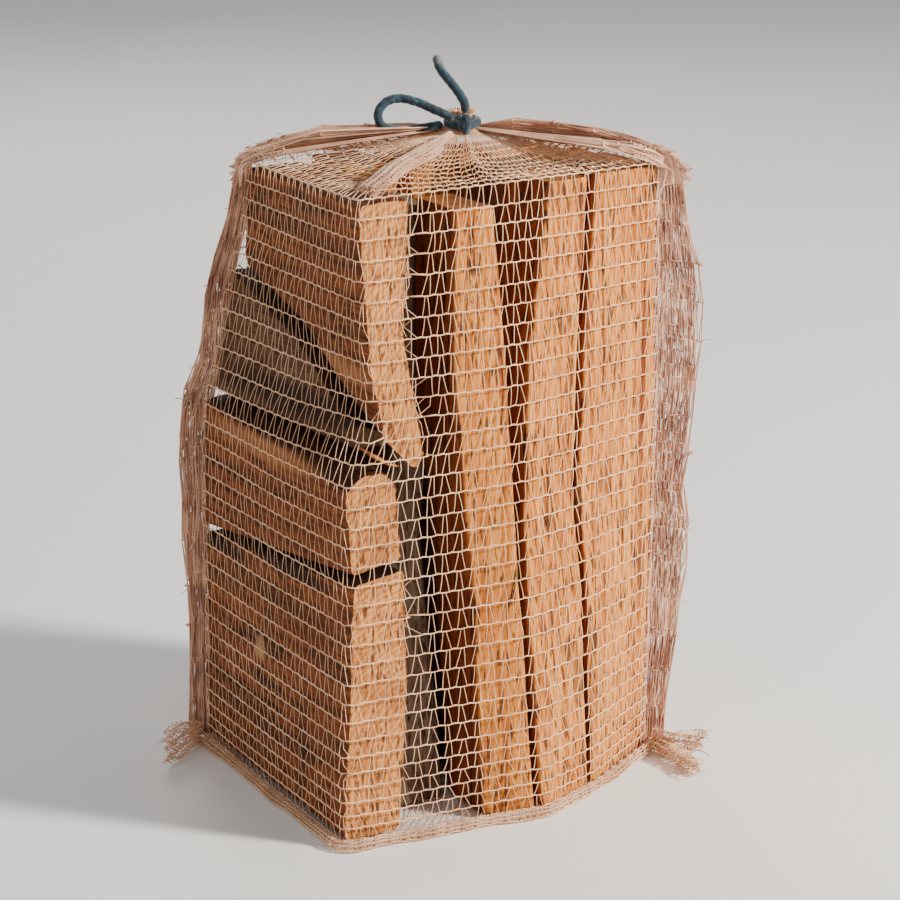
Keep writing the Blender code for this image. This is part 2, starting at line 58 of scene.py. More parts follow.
# The string
STRING_RADIUS = 0.0024
LOOP_POINTS = ((0.0028, 0.0036, 0.3520), (-0.0010, 0.0062, 0.3545), (-0.0060, 0.0110, 0.3572),
               (-0.0110, 0.0158, 0.3600), (-0.0180, 0.0215, 0.3620), (-0.0245, 0.0252, 0.3605),
               (-0.0295, 0.0260, 0.3545), (-0.0270, 0.0245, 0.3475), (-0.0160, 0.0200, 0.3457),
               (-0.0050, 0.0150, 0.3470), (0.0012, 0.0118, 0.3482))
TAIL_POINTS = ((0.0079, 0.0014, 0.3553), (0.0074, 0.0004, 0.3600), (0.0060, 0.0045, 0.3656),
               (0.0036, 0.0098, 0.3712), (0.0010, 0.0142, 0.3768), (-0.0004, 0.0165, 0.3838))
NECK = np.array((0.013, 0.012, 0.3475)) + SHIFT
NECK_RADIUS = 0.005

# The net
FRONT_COLUMNS = 88           # stitches from the left seam past the front to the right seam
BACK_COLUMNS = 82
SIDE_ROWS = 35
TOP_ROWS = 12
UNDER_ROWS = 6
LOW_ROW = 0.0048
HIGH_ROW = 0.3325
CHAIN_RADIUS = 0.00044
STRAND_RADIUS = 0.00024
WOOD_CLEARANCE = 0.0012
SEAM_LAYERS = 4
SEAM_STITCHES = 20
SEAM_ROW_RADIUS = 0.00052
SEAM_STRAND_RADIUS = 0.00036
TRIM_ROW_RADIUS = 0.00036    # ears and gathered mouth
FOLD_ROW_RADIUS = 0.00034    # fold over the top and hem
FOLD_STRAND_RADIUS = 0.00030
TRIM_STRAND_RADIUS = 0.00026
NET_FLOOR = 0.0014           # no sheet of net goes lower
THREAD_FLOOR = 0.0008
LEFT_SEAM = math.radians(138.6)
RIGHT_SEAM = math.radians(341.9)


def srgb(red, green, blue):
    """Linear colour with alpha from one given in steps of 255."""
    shares = np.array((red, green, blue)) / 255.0
    linear = np.where(shares <= 0.04045, shares / 12.92, ((shares + 0.055) / 1.055) ** 2.4)
    return (*linear.tolist(), 1.0)


def unit(vectors):
    return vectors / np.maximum(np.linalg.norm(vectors, axis=-1, keepdims=True), 1e-9)


def lattice_value(cells, seed):
    """A fixed pseudo-random value from 0 to 1 for each whole-numbered cell."""
    mixed = (cells[..., 0] * 73856093) ^ (cells[..., 1] * 19349663) ^ (cells[..., 2] * 83492791)
    mixed = (mixed + seed * 40503) & 0xFFFFFFFF
    mixed = ((mixed ^ (mixed >> 13)) * 1274126177) & 0xFFFFFFFF
    mixed = mixed ^ (mixed >> 16)
    return (mixed & 0xFFFF) / 65535.0


def value_noise(points, seed=0):
    """Smooth noise from 0 to 1 with cells one unit wide."""
    cells = np.floor(points).astype(np.int64)
    share = points - cells
    share = share * share * (3.0 - 2.0 * share)
    total = np.zeros(points.shape[:-1])
    for corner in range(8):
        offset = np.array((corner & 1, corner >> 1 & 1, corner >> 2 & 1))
        weight = np.prod(np.where(offset == 1, share, 1.0 - share), axis=-1)
        total += weight * lattice_value(cells + offset, seed)
    return total


def quads_between(start, after):
    """Quads between rings of point numbers that close on themselves."""
    corners = (start, np.roll(start, -1, -1), np.roll(after, -1, -1), after)
    return np.stack(corners, axis=-1).reshape(-1, 4).tolist()


def distances(points):
    """How far along the line each of its points lies."""
    return np.concatenate(([0.0], np.cumsum(np.linalg.norm(np.diff(points, axis=0), axis=1))))


def mesh_object(name, points, faces, material, slot):
    mesh = bpy.data.meshes.new(name)
    mesh.from_pydata(points.tolist(), [], faces)
    mesh.shade_smooth()
    mesh.materials.append(material)
    item = bpy.data.objects.new(name, mesh)
    bpy.context.scene.collection.objects.link(item)
    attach(item, "root")
    return item


# Camera, floor and light

def add_camera():
    sine, cosine = math.sin(CAMERA_AZIMUTH), math.cos(CAMERA_AZIMUTH)
    right = Vector((cosine, sine, 0.0))
    back = Vector((sine * math.cos(CAMERA_ELEVATION), -cosine * math.cos(CAMERA_ELEVATION),
                   math.sin(CAMERA_ELEVATION)))
    target = right * CAMERA_SIDE + Vector((SHIFT[0], SHIFT[1], CAMERA_HEIGHT))
    data = bpy.data.cameras.new("camera")
    data.lens = CAMERA_LENS
    data.sensor_width = 36.0
    data.clip_end = 50.0
    camera = bpy.data.objects.new("camera", data)
    bpy.context.scene.collection.objects.link(camera)
    camera.location = target + back * CAMERA_DISTANCE
    camera.rotation_mode = 'QUATERNION'
    camera.rotation_quaternion = (-back).to_track_quat('-Z', 'Y')
    bpy.context.scene.camera = camera


def add_light(name, place, aim, size, power, colour):
    data = bpy.data.lights.new(name, 'AREA')
    data.shape = 'DISK'
    data.size = size
    data.energy = power
    data.color = colour
    lamp = bpy.data.objects.new(name, data)
    bpy.context.scene.collection.objects.link(lamp)
    lamp.location = place
    lamp.rotation_mode = 'QUATERNION'
    lamp.rotation_quaternion = (Vector(aim) - Vector(place)).to_track_quat('-Z', 'Y')


def add_stage():
    half = 9.0
    corners = np.array(((-half, -half, 0.0), (half, -half, 0.0), (half, half, 0.0), (-half, half, 0.0)))
    mesh = bpy.data.meshes.new("floor")
    mesh.from_pydata(corners.tolist(), [], [(0, 1, 2, 3)])
    material = bpy.data.materials.new("floor")
    material.use_nodes = True
    shader = material.node_tree.nodes["Principled BSDF"]
    shader.inputs["Base Color"].default_value = srgb(240, 239, 237)
    shader.inputs["Roughness"].default_value = 0.9
    mesh.materials.append(material)
    floor = bpy.data.objects.new("floor", mesh)
    bpy.context.scene.collection.objects.link(floor)
    world = bpy.data.worlds.new("studio")
    world.use_nodes = True
    background = world.node_tree.nodes["Background"]
    background.inputs["Color"].default_value = srgb(246, 247, 250)
    background.inputs["Strength"].default_value = 0.42
    bpy.context.scene.world = world
    middle = (0.0, 0.0, 0.17)
    add_light("key", (1.45, -1.50, 1.30), middle, 0.30, 118.0, (1.0, 0.94, 0.86))
    add_light("fill", (-1.9, -0.9, 1.1), middle, 1.2, 8.0, (1.0, 0.97, 0.94))
    add_light("rim", (0.6, 1.9, 1.5), middle, 1.0, 18.0, (1.0, 0.97, 0.93))


# Materials

class Nodes:
    """Adds linked nodes to a material in one call each."""

    def __init__(self, name):
        self.material = bpy.data.materials.new(name)
        self.material.use_nodes = True
        self.tree = self.material.node_tree
        self.shader = self.tree.nodes["Principled BSDF"]

    def add(self, kind, inputs, **settings):
        node = self.tree.nodes.new(kind)
        for key, value in settings.items():
            setattr(node, key, value)
        for key, value in inputs.items():
            if isinstance(value, bpy.types.NodeSocket):
                self.tree.links.new(value, node.inputs[key])
            else:
                node.inputs[key].default_value = value
        return node.outputs

    def math(self, operation, first, second=0.0):
        return self.add('ShaderNodeMath', {0: first, 1: second}, operation=operation)[0]

    def mix(self, first, second, share, blend='MIX'):
        return self.add('ShaderNodeMix', {0: share, 6: first, 7: second},
                        data_type='RGBA', blend_type=blend)[2]

    def ramp(self, value, stops):
        node = self.tree.nodes.new('ShaderNodeValToRGB')
        elements = node.color_ramp.elements
        while len(elements) < len(stops):
            elements.new(0.5)
        for element, (place, colour) in zip(elements, stops):
            element.position = place
            element.color = colour
        self.tree.links.new(value, node.inputs[0])
        return node.outputs[0]

    def fade(self, value, start, end):
        return self.add('ShaderNodeMapRange', {0: value, 1: start, 2: end, 3: 0.0, 4: 1.0},
                        interpolation_type='SMOOTHSTEP')[0]

    def patch(self, value, start, end, strength):
        """From 0 at start to the strength at end."""
        return self.math('MULTIPLY', self.fade(value, start, end), strength)

    def facing(self, normal, way):
        """The cosine between the surface's normal and a direction."""
        return self.add('ShaderNodeVectorMath', {0: normal, 1: way}, operation='DOT_PRODUCT')[1]

    def linked(self, specular, **inputs):
        """The material, with its colour, bump and roughness taken from the nodes."""
        for name, value in inputs.items():
            self.tree.links.new(value, self.shader.inputs[name.replace("_", " ")])
        self.shader.inputs["Specular IOR Level"].default_value = specular
        return self.material

    def stretched_noise(self, place, across, along, seed, detail, rough):
        """Noise in long streaks along the third coordinate."""
        moved = self.add('ShaderNodeMapping', {0: place, 'Location': (seed, seed * 0.7, seed * 1.3),
                                               'Scale': (across, across, along)})[0]
        return self.add('ShaderNodeTexNoise', {'Vector': moved, 'Scale': 1.0, 'Detail': detail,
                                               'Roughness': rough})[0]

    def spot(self, place, centre, radii, jitter):
        """From 1 at the centre of an ellipsoid to 0 at its edge, with a ragged border."""
        offset = self.add('ShaderNodeVectorMath', {0: place, 1: centre}, operation='SUBTRACT')[0]
        scaled = self.add('ShaderNodeVectorMath', {0: offset, 1: radii}, operation='DIVIDE')[0]
        length = self.add('ShaderNodeVectorMath', {0: scaled}, operation='LENGTH')[1]
        ragged = self.math('ADD', length, self.math('MULTIPLY', jitter, 0.9))
        return self.fade(ragged, 1.45, 0.85)


DARK_STREAK = srgb(70, 38, 22)

WOODS = {
    # dark streak, body, light, sawn end
    # warm: its sawn end colour is darkened as painted shade on the sticks' upper ends
    "warm": (srgb(132, 62, 18), srgb(218, 134, 52), srgb(238, 166, 74), srgb(122, 76, 42)),
    "red": (srgb(60, 28, 15), srgb(126, 68, 34), srgb(160, 94, 52), srgb(222, 150, 80)),
    "dark": (srgb(58, 40, 30), srgb(98, 70, 52), srgb(130, 96, 72), srgb(120, 90, 66)),
    "grey": (srgb(70, 58, 48), srgb(124, 104, 86), srgb(156, 134, 112), srgb(146, 114, 88)),
    # inner: darker maroon tones for the sticks deep in the hollow, as painted shade
    "inner": (srgb(74, 38, 28), srgb(122, 72, 52), srgb(152, 98, 72), srgb(92, 56, 38)),
}


def wood_material(name, kind, seed, crosswise, pith, spots=(), bark_side=None, painted_shade_left=False):
    """Split softwood: streaks and fibres along the grain, year rings, checks, dirt, and sawn ends, with
    painted shade on the upward faces of blocks and on the left faces of some sticks.
    """
    dark, body, light, sawn = WOODS[kind]
    nodes = Nodes(name)
    place = nodes.add('ShaderNodeTexCoord', {})['Object']
    turned = place
    if crosswise:
        turned = nodes.add('ShaderNodeMapping', {0: place, 'Rotation': (math.pi / 2, 0.0, 0.0)})[0]
    normal = nodes.add('ShaderNodeNewGeometry', {})['Normal']
    axis = (0.0, 1.0, 0.0) if crosswise else (0.0, 0.0, 1.0)
    on_end = nodes.fade(nodes.math('ABSOLUTE', nodes.facing(normal, axis)), 0.62, 0.80)

    streak = nodes.stretched_noise(turned, 190.0, 5.0, seed, 5.0, 0.62)
    fibre = nodes.stretched_noise(turned, 950.0, 26.0, seed + 3.0, 3.0, 0.6)
    blotch = nodes.stretched_noise(turned, 34.0, 7.0, seed + 7.0, 3.0, 0.55)
    fleck = nodes.stretched_noise(turned, 420.0, 60.0, seed + 11.0, 2.0, 0.5)
    centred = nodes.add('ShaderNodeMapping', {0: turned, 'Location': (-pith[0], -pith[1], 0.0)})[0]
    rings = nodes.add('ShaderNodeTexWave', {'Vector': centred, 'Scale': 96.0, 'Distortion': 5.0,
                                            'Detail': 3.0, 'Detail Scale': 0.6, 'Detail Roughness': 0.6},
                      wave_type='RINGS', rings_direction='Z', wave_profile='SIN')[1]

    colour = nodes.ramp(streak, ((0.28, dark), (0.46, body), (0.72, light)))
    ring_shade = nodes.ramp(rings, ((0.0, (0.66, 0.58, 0.50, 1.0)), (0.45, (1.0, 1.0, 1.0, 1.0))))
    colour = nodes.mix(colour, ring_shade, 0.42, 'MULTIPLY')
    fibre_shade = nodes.ramp(fibre, ((0.30, (0.66, 0.60, 0.54, 1.0)), (0.60, (1.08, 1.06, 1.02, 1.0))))
    colour = nodes.mix(colour, fibre_shade, 0.60, 'MULTIPLY')
    colour = nodes.mix(colour, dark, nodes.patch(blotch, 0.52, 0.74, 0.55))
    colour = nodes.mix(colour, DARK_STREAK, nodes.patch(fleck, 0.57, 0.66, 0.85))
    speck = nodes.stretched_noise(turned, 620.0, 150.0, seed + 23.0, 2.0, 0.5)
    colour = nodes.mix(colour, DARK_STREAK, nodes.patch(speck, 0.58, 0.68, 0.70))
    check_line = nodes.stretched_noise(turned, 75.0, 2.6, seed + 17.0, 2.0, 0.4)
    nearness = nodes.fade(nodes.math('ABSOLUTE', nodes.math('SUBTRACT', check_line, 0.5)), 0.012, 0.004)
    checks = nodes.math('MULTIPLY', nearness, nodes.fade(blotch, 0.50, 0.58))
    colour = nodes.mix(colour, srgb(38, 22, 14), nodes.math('MULTIPLY', checks, 0.85))
    # Painted shade: faces that look left, away from the key light, are darkened to a red-brown
    if painted_shade_left:
        left_shade_mask = nodes.fade(nodes.facing(normal, (-1.0, 0.0, 0.0)), 0.35, 0.75)
        colour = nodes.mix(colour, (0.32, 0.21, 0.24, 1.0), left_shade_mask, 'MULTIPLY')
    # Painted shade: the upward faces of the crosswise blocks are darkened by a multiplier
    if crosswise:
        top_shade_mask = nodes.fade(nodes.facing(normal, (0.0, 0.0, 1.0)), 0.30, 0.65)
        top_painted_shade = nodes.mix(colour, PAINTED_TOP_SHADE.get(name, (0.20, 0.15, 0.15, 1.0)), 1.0, 'MULTIPLY')
        colour = nodes.mix(colour, top_painted_shade, top_shade_mask)
    for centre, radii, tone, strength in spots:
        moved = tuple((np.array(centre) + SHIFT).tolist())
        near = nodes.spot(place, moved, radii, blotch)
        colour = nodes.mix(colour, tone, nodes.math('MULTIPLY', near, strength))

    end_speck = nodes.stretched_noise(place, 520.0, 130.0, seed + 29.0, 3.0, 0.6)
    end_colour = nodes.mix(sawn, ring_shade, 0.85, 'MULTIPLY')
    end_colour = nodes.mix(end_colour, dark, nodes.patch(end_speck, 0.50, 0.66, 0.85))
    end_colour = nodes.mix(end_colour, body, nodes.patch(blotch, 0.4, 0.7, 0.5))
    colour = nodes.mix(colour, end_colour, on_end)
    rough = nodes.math('ADD', nodes.math('MULTIPLY', streak, 0.25), 0.66)
    height = nodes.math('ADD', nodes.math('MULTIPLY', fibre, 0.5), nodes.math('MULTIPLY', streak, 0.8))
    height = nodes.math('SUBTRACT', height, nodes.math('MULTIPLY', checks, 1.2))
    height = nodes.math('ADD', height, nodes.math('MULTIPLY', rings, 0.16))
    height = nodes.math('MULTIPLY', height, nodes.math('SUBTRACT', 1.0, nodes.math('MULTIPLY', on_end, 0.7)))
    if bark_side is not None:
        scaled = nodes.add('ShaderNodeMapping', {0: turned, 'Scale': (150.0, 150.0, 45.0)})[0]
        plates = nodes.add('ShaderNodeTexVoronoi', {'Vector': scaled, 'Scale': 1.0, 'Randomness': 0.9},
                           feature='DISTANCE_TO_EDGE')[0]
        bark = nodes.ramp(plates, ((0.02, srgb(34, 24, 18)), (0.12, srgb(84, 62, 46)),
                                   (0.5, srgb(124, 98, 76))))
        bark = nodes.mix(bark, fibre_shade, 0.6, 'MULTIPLY')
        on_bark = nodes.fade(nodes.facing(normal, bark_side), 0.30, 0.55)
        barked = nodes.math('MULTIPLY', on_bark, nodes.math('SUBTRACT', 1.0, on_end))
        colour = nodes.mix(colour, bark, barked)
        raised = nodes.math('MULTIPLY', plates, barked)
        height = nodes.math('ADD', height, nodes.math('MULTIPLY', raised, 3.0))
    bump = nodes.add('ShaderNodeBump', {'Strength': 0.85, 'Distance': 0.0011, 'Height': height})[0]
    return nodes.linked(0.25, Base_Color=colour, Roughness=rough, Normal=bump)


def net_material(name, deep, pale, dust):
    """Knitted plastic tape: cream, dusty in places."""
    nodes = Nodes(name)
    place = nodes.add('ShaderNodeTexCoord', {})['Object']
    soft = nodes.add('ShaderNodeTexNoise', {'Vector': place, 'Scale': 55.0, 'Detail': 3.0})[0]
    fine = nodes.add('ShaderNodeTexNoise', {'Vector': place, 'Scale': 900.0, 'Detail': 2.0})[0]
    twist = nodes.add('ShaderNodeTexWave', {'Vector': place, 'Scale': 210.0, 'Distortion': 3.0,
                                            'Detail': 2.0}, bands_direction='DIAGONAL')[1]
    colour = nodes.ramp(soft, ((0.34, deep), (0.62, pale)))
    colour = nodes.mix(colour, dust, nodes.patch(fine, 0.55, 0.75, 0.45))
    height = nodes.math('ADD', nodes.math('MULTIPLY', twist, 0.6), nodes.math('MULTIPLY', fine, 0.5))
    bump = nodes.add('ShaderNodeBump', {'Strength': 0.5, 'Distance': 0.0002, 'Height': height})[0]
    rough = nodes.math('ADD', nodes.math('MULTIPLY', soft, 0.2), 0.45)
    return nodes.linked(0.4, Base_Color=colour, Roughness=rough, Normal=bump)


def string_material():
    """Teal twisted fibre, mottled darker and lighter, faded to grey at the frayed tip."""
    nodes = Nodes("string")
    place = nodes.add('ShaderNodeTexCoord', {})['Object']
    fibre = nodes.add('ShaderNodeTexNoise', {'Vector': place, 'Scale': 1300.0, 'Detail': 4.0,
                                             'Roughness': 0.7})[0]
    patch = nodes.add('ShaderNodeTexNoise', {'Vector': place, 'Scale': 170.0, 'Detail': 3.0})[0]
    colour = nodes.ramp(patch, ((0.34, srgb(10, 30, 42)), (0.56, srgb(24, 56, 72)),
                                (0.76, srgb(74, 118, 130))))
    worn = nodes.ramp(fibre, ((0.35, (0.55, 0.55, 0.55, 1.0)), (0.65, (1.25, 1.25, 1.25, 1.0))))
    colour = nodes.mix(colour, worn, 0.8, 'MULTIPLY')
    height = nodes.add('ShaderNodeSeparateXYZ', {0: place})[2]
    tip = nodes.fade(nodes.math('ADD', height, nodes.math('MULTIPLY', patch, 0.006)), 0.3800, 0.3860)
    colour = nodes.mix(colour, srgb(116, 124, 118), nodes.math('MULTIPLY', tip, 0.8))
    bump = nodes.add('ShaderNodeBump', {'Strength': 0.8, 'Distance': 0.0004, 'Height': fibre})[0]
    nodes.tree.links.new(colour, nodes.shader.inputs["Base Color"])
    nodes.tree.links.new(bump, nodes.shader.inputs["Normal"])
    nodes.shader.inputs["Roughness"].default_value = 0.8
    nodes.shader.inputs["Sheen Weight"].default_value = 0.3
    return nodes.material


# The string: a tube with three twisted lobes

def smooth_route(points, spacing):
    """Points at even spacing on a smooth curve through the given points."""
    route = np.array(points) + SHIFT
    padded = np.vstack((2 * route[0] - route[1], route, 2 * route[-1] - route[-2]))
    fine = []
    for index in range(1, len(padded) - 2):
        before, start, end, after = padded[index - 1:index + 3]
        for share in np.arange(16) / 16:
            fine.append(0.5 * (2 * start + (end - before) * share
                               + (2 * before - 5 * start + 4 * end - after) * share ** 2
                               + (3 * start - before - 3 * end + after) * share ** 3))
    fine = np.array(fine + [route[-1]])
    return resample(fine, max(4, round(path_length(fine) / spacing)) + 1)


def path_length(points):
    return float(np.linalg.norm(np.diff(points, axis=0), axis=1).sum())


def resample(points, count):
    """The same line with count points at even spacing."""
    walked = distances(points)
    wanted = np.linspace(0.0, walked[-1], count)
    return np.stack([np.interp(wanted, walked, points[:, axis]) for axis in range(points.shape[1])], axis=1)


def rope_tube(path, radius, seed, pitch=0.0125, closed=False):
    """Points and faces of a three-ply twisted rope along a path, with rounded ends if it is open."""
    sides = 20
    count = len(path)
    if closed:
        tangents = unit(np.roll(path, -1, axis=0) - np.roll(path, 1, axis=0))
    else:
        tangents = unit(np.gradient(path, axis=0))
    side = unit(np.cross(tangents[0], (0.31, 0.17, 0.93)))
    sideways = []
    for tangent in tangents:
        side = unit(side - tangent * (side @ tangent))
        sideways.append(side)
    sideways = np.array(sideways)
    upward = np.cross(tangents, sideways)
    walked = distances(path)
    turns = walked / pitch
    if closed:
        turns = np.arange(count) / count * round(walked[-1] / pitch)
    angles = 2 * np.pi * np.arange(sides) / sides
    lobes = np.abs(np.cos(1.5 * (angles[None, :] - 2 * np.pi * turns[:, None]))) ** 0.6
    reach = radius * (0.88 + 0.13 * lobes)
    if not closed:
        from_end = np.minimum(walked, walked[-1] - walked)
        nearness = np.clip(from_end / (0.8 * radius), 0.0, 1.0)
        rounding = np.sqrt(np.clip(1.0 - (1.0 - nearness) ** 2, 0.03, 1.0))
        reach = reach * rounding[:, None]
    ring = (path[:, None, :] + reach[..., None] * (np.cos(angles)[None, :, None] * sideways[:, None, :]
                                                   + np.sin(angles)[None, :, None] * upward[:, None, :]))
    ring += (value_noise(ring * 900.0, seed)[..., None] - 0.5) * 0.00022 * unit(ring - path[:, None, :])
    index = np.arange(count * sides).reshape(count, sides)
    after = np.roll(index, -1, axis=0) if closed else index[1:]
    start = index if closed else index[:-1]
    faces = quads_between(start, after)
    if not closed:
        faces.append(index[0][::-1].tolist())
        faces.append(index[-1].tolist())
    return ring.reshape(-1, 3), faces


def joined(parts):
    """One list of points and one of faces from several."""
    points = []
    faces = []
    count = 0
    for some_points, some_faces in parts:
        points.append(some_points)
        faces += [[corner + count for corner in face] for face in some_faces]
        count += len(some_points)
    return np.vstack(points), faces


def add_string(material):
    loop_path = smooth_route(LOOP_POINTS, 0.0011)
    tail_path = smooth_route(TAIL_POINTS, 0.0011)
    loop = mesh_object("tie_loop", *rope_tube(loop_path, STRING_RADIUS, 5), material, "string")
    tail = mesh_object("tie_tail", *rope_tube(tail_path, STRING_RADIUS, 6), material, "string")
    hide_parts("string_loop")
    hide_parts("string_tail")
    turn_radius = NECK_RADIUS + 0.0003 + STRING_RADIUS
    angles = 2 * np.pi * np.arange(44) / 44
    turn = np.stack((NECK[0] + turn_radius * np.cos(angles), NECK[1] + turn_radius * np.sin(angles),
                     NECK[2] + 0.0010 + 0.0008 * np.sin(angles + 0.6)), axis=1)
    toward_viewer = np.array((-0.46, -0.89, 0.0))
    leftward = np.array((-0.89, 0.46, 0.0))
    upward = np.array((0.0, 0.0, 1.0))
    heart = NECK + toward_viewer * (turn_radius + 0.0016) + upward * 0.0024
    knot_angles = 2 * np.pi * np.arange(72) / 72
    trefoil = (heart + 0.00105 * ((np.sin(knot_angles) + 2 * np.sin(2 * knot_angles))[:, None] * leftward
                                  + (np.cos(knot_angles) - 2 * np.cos(2 * knot_angles))[:, None] * upward
                                  - 1.1 * np.sin(3 * knot_angles)[:, None] * toward_viewer))
    stub = np.array([heart + leftward * a + upward * b + toward_viewer * c for a, b, c in (
        (-0.0010, 0.0040, 0.0000), (-0.0014, 0.0018, 0.0022), (-0.0016, -0.0010, 0.0026),
        (-0.0014, -0.0040, 0.0018), (-0.0006, -0.0064, 0.0012))])
    stub = resample(stub, 16)
    knot = mesh_object("tie_knot", *joined((rope_tube(turn, STRING_RADIUS * 0.96, 7, closed=True),
                                            rope_tube(trefoil, 0.0019, 8, 0.009, closed=True),
                                            rope_tube(stub, 0.0023, 9))), material, "string")
    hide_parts("string_knot")


# The wood

RELIEF = {"grain": 0.0007, "bark": 0.0022}
GROUND = 0.0032
SKIN_STEP = 0.0014           # between points round a piece
RING_STEP = 0.0075           # between rings along a piece
END_REACH = 0.007            # the rings get closer this near to a sawn end
END_STEPS = (0.0, 0.0007, 0.0016, 0.0035)
SAWN_SHARES = (0.03, 0.08, 0.16, 0.28, 0.42, 0.58, 0.75, 0.90)
SHARP_ANGLE = math.radians(48.0)


def merged_triangles(name):
    """Places and triangles of a node of the frame, with its split corners merged."""
    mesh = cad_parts[name].data
    mesh.calc_loop_triangles()
    places = np.zeros(len(mesh.vertices) * 3)
    mesh.vertices.foreach_get("co", places)
    corners = np.zeros(len(mesh.loop_triangles) * 3, np.int32)
    mesh.loop_triangles.foreach_get("vertices", corners)
    rounded, inverse = np.unique(np.round(places.reshape(-1, 3), 6), axis=0, return_inverse=True)
    return rounded, inverse.reshape(-1)[corners].reshape(-1, 3)


def end_planes(places, triangles, along, across):
    """Planes of the two sawn ends, as the height along the grain over the other two coordinates."""
    sides = np.cross(places[triangles[:, 1]] - places[triangles[:, 0]],
                     places[triangles[:, 2]] - places[triangles[:, 0]])
    facing = unit(sides)[:, along]
    planes = []
    for chosen in (facing < -0.8, facing > 0.8):
        rim = places[np.unique(triangles[chosen])]
        table = np.column_stack((np.ones(len(rim)), rim[:, across[0]], rim[:, across[1]]))
        planes.append(np.linalg.lstsq(table, rim[:, along], rcond=None)[0])
    return planes


def section(places, triangles, level, value):
    """The closed outline where a piece crosses one level, as points in order."""
    above = level > value
    mixed = triangles[above[triangles].any(axis=1) & ~above[triangles].all(axis=1)]
    found = {}
    links = {}
    for triangle in mixed.tolist():
        ends = []
        for first, second in ((0, 1), (1, 2), (2, 0)):
            one, other = triangle[first], triangle[second]
            if above[one] != above[other]:
                key = (min(one, other), max(one, other))
                share = (value - level[one]) / (level[other] - level[one])
                found[key] = places[one] + (places[other] - places[one]) * share
                ends.append(key)
        links.setdefault(ends[0], []).append(ends[1])
        links.setdefault(ends[1], []).append(ends[0])
    start = min(found)
    route = [start]
    previous = None
    while True:
        choices = [key for key in links[route[-1]] if key != previous]
        previous = route[-1]
        if choices[0] == start or len(route) > len(found):
            break
        route.append(choices[0])
    return np.array([found[key] for key in route])


def even_outline(points, across, count):
    """count points round an outline from its left side, counterclockwise."""
    flat = points[:, across]
    area = np.sum(flat[:, 0] * np.roll(flat[:, 1], -1) - np.roll(flat[:, 0], -1) * flat[:, 1])
    if area < 0:
        flat = flat[::-1]
    centre = (flat.min(axis=0) + flat.max(axis=0)) / 2
    height = flat[:, 1] - centre[1]
    following = np.roll(height, -1)
    leftward = (height > 0) & (following <= 0) & (flat[:, 0] < centre[0])
    place = int(np.argmax(leftward))
    share = height[place] / (height[place] - following[place])
    onset = flat[place] + (np.roll(flat, -1, axis=0)[place] - flat[place]) * share
    closed = np.vstack((onset, np.roll(flat, -place - 1, axis=0), onset))
    return resample(closed, count + 1)[:-1]


def grain_relief(places, along, seed, depth):
    """How deep the torn grain lies under the outline: ledges, ridges and single fibres."""
    stretch = np.array([62.0, 62.0, 62.0])
    stretch[along] = 5.0
    ledges = np.abs(2 * value_noise(places * stretch, seed) - 1.0)
    stretch = np.array([210.0, 210.0, 210.0])
    stretch[along] = 9.0
    ridges = value_noise(places * stretch, seed + 1)
    stretch = np.array([560.0, 560.0, 560.0])
    stretch[along] = 22.0
    fibres = value_noise(places * stretch, seed + 2)
    return depth * (0.55 * ledges + 0.50 * ridges + 0.30 * fibres)


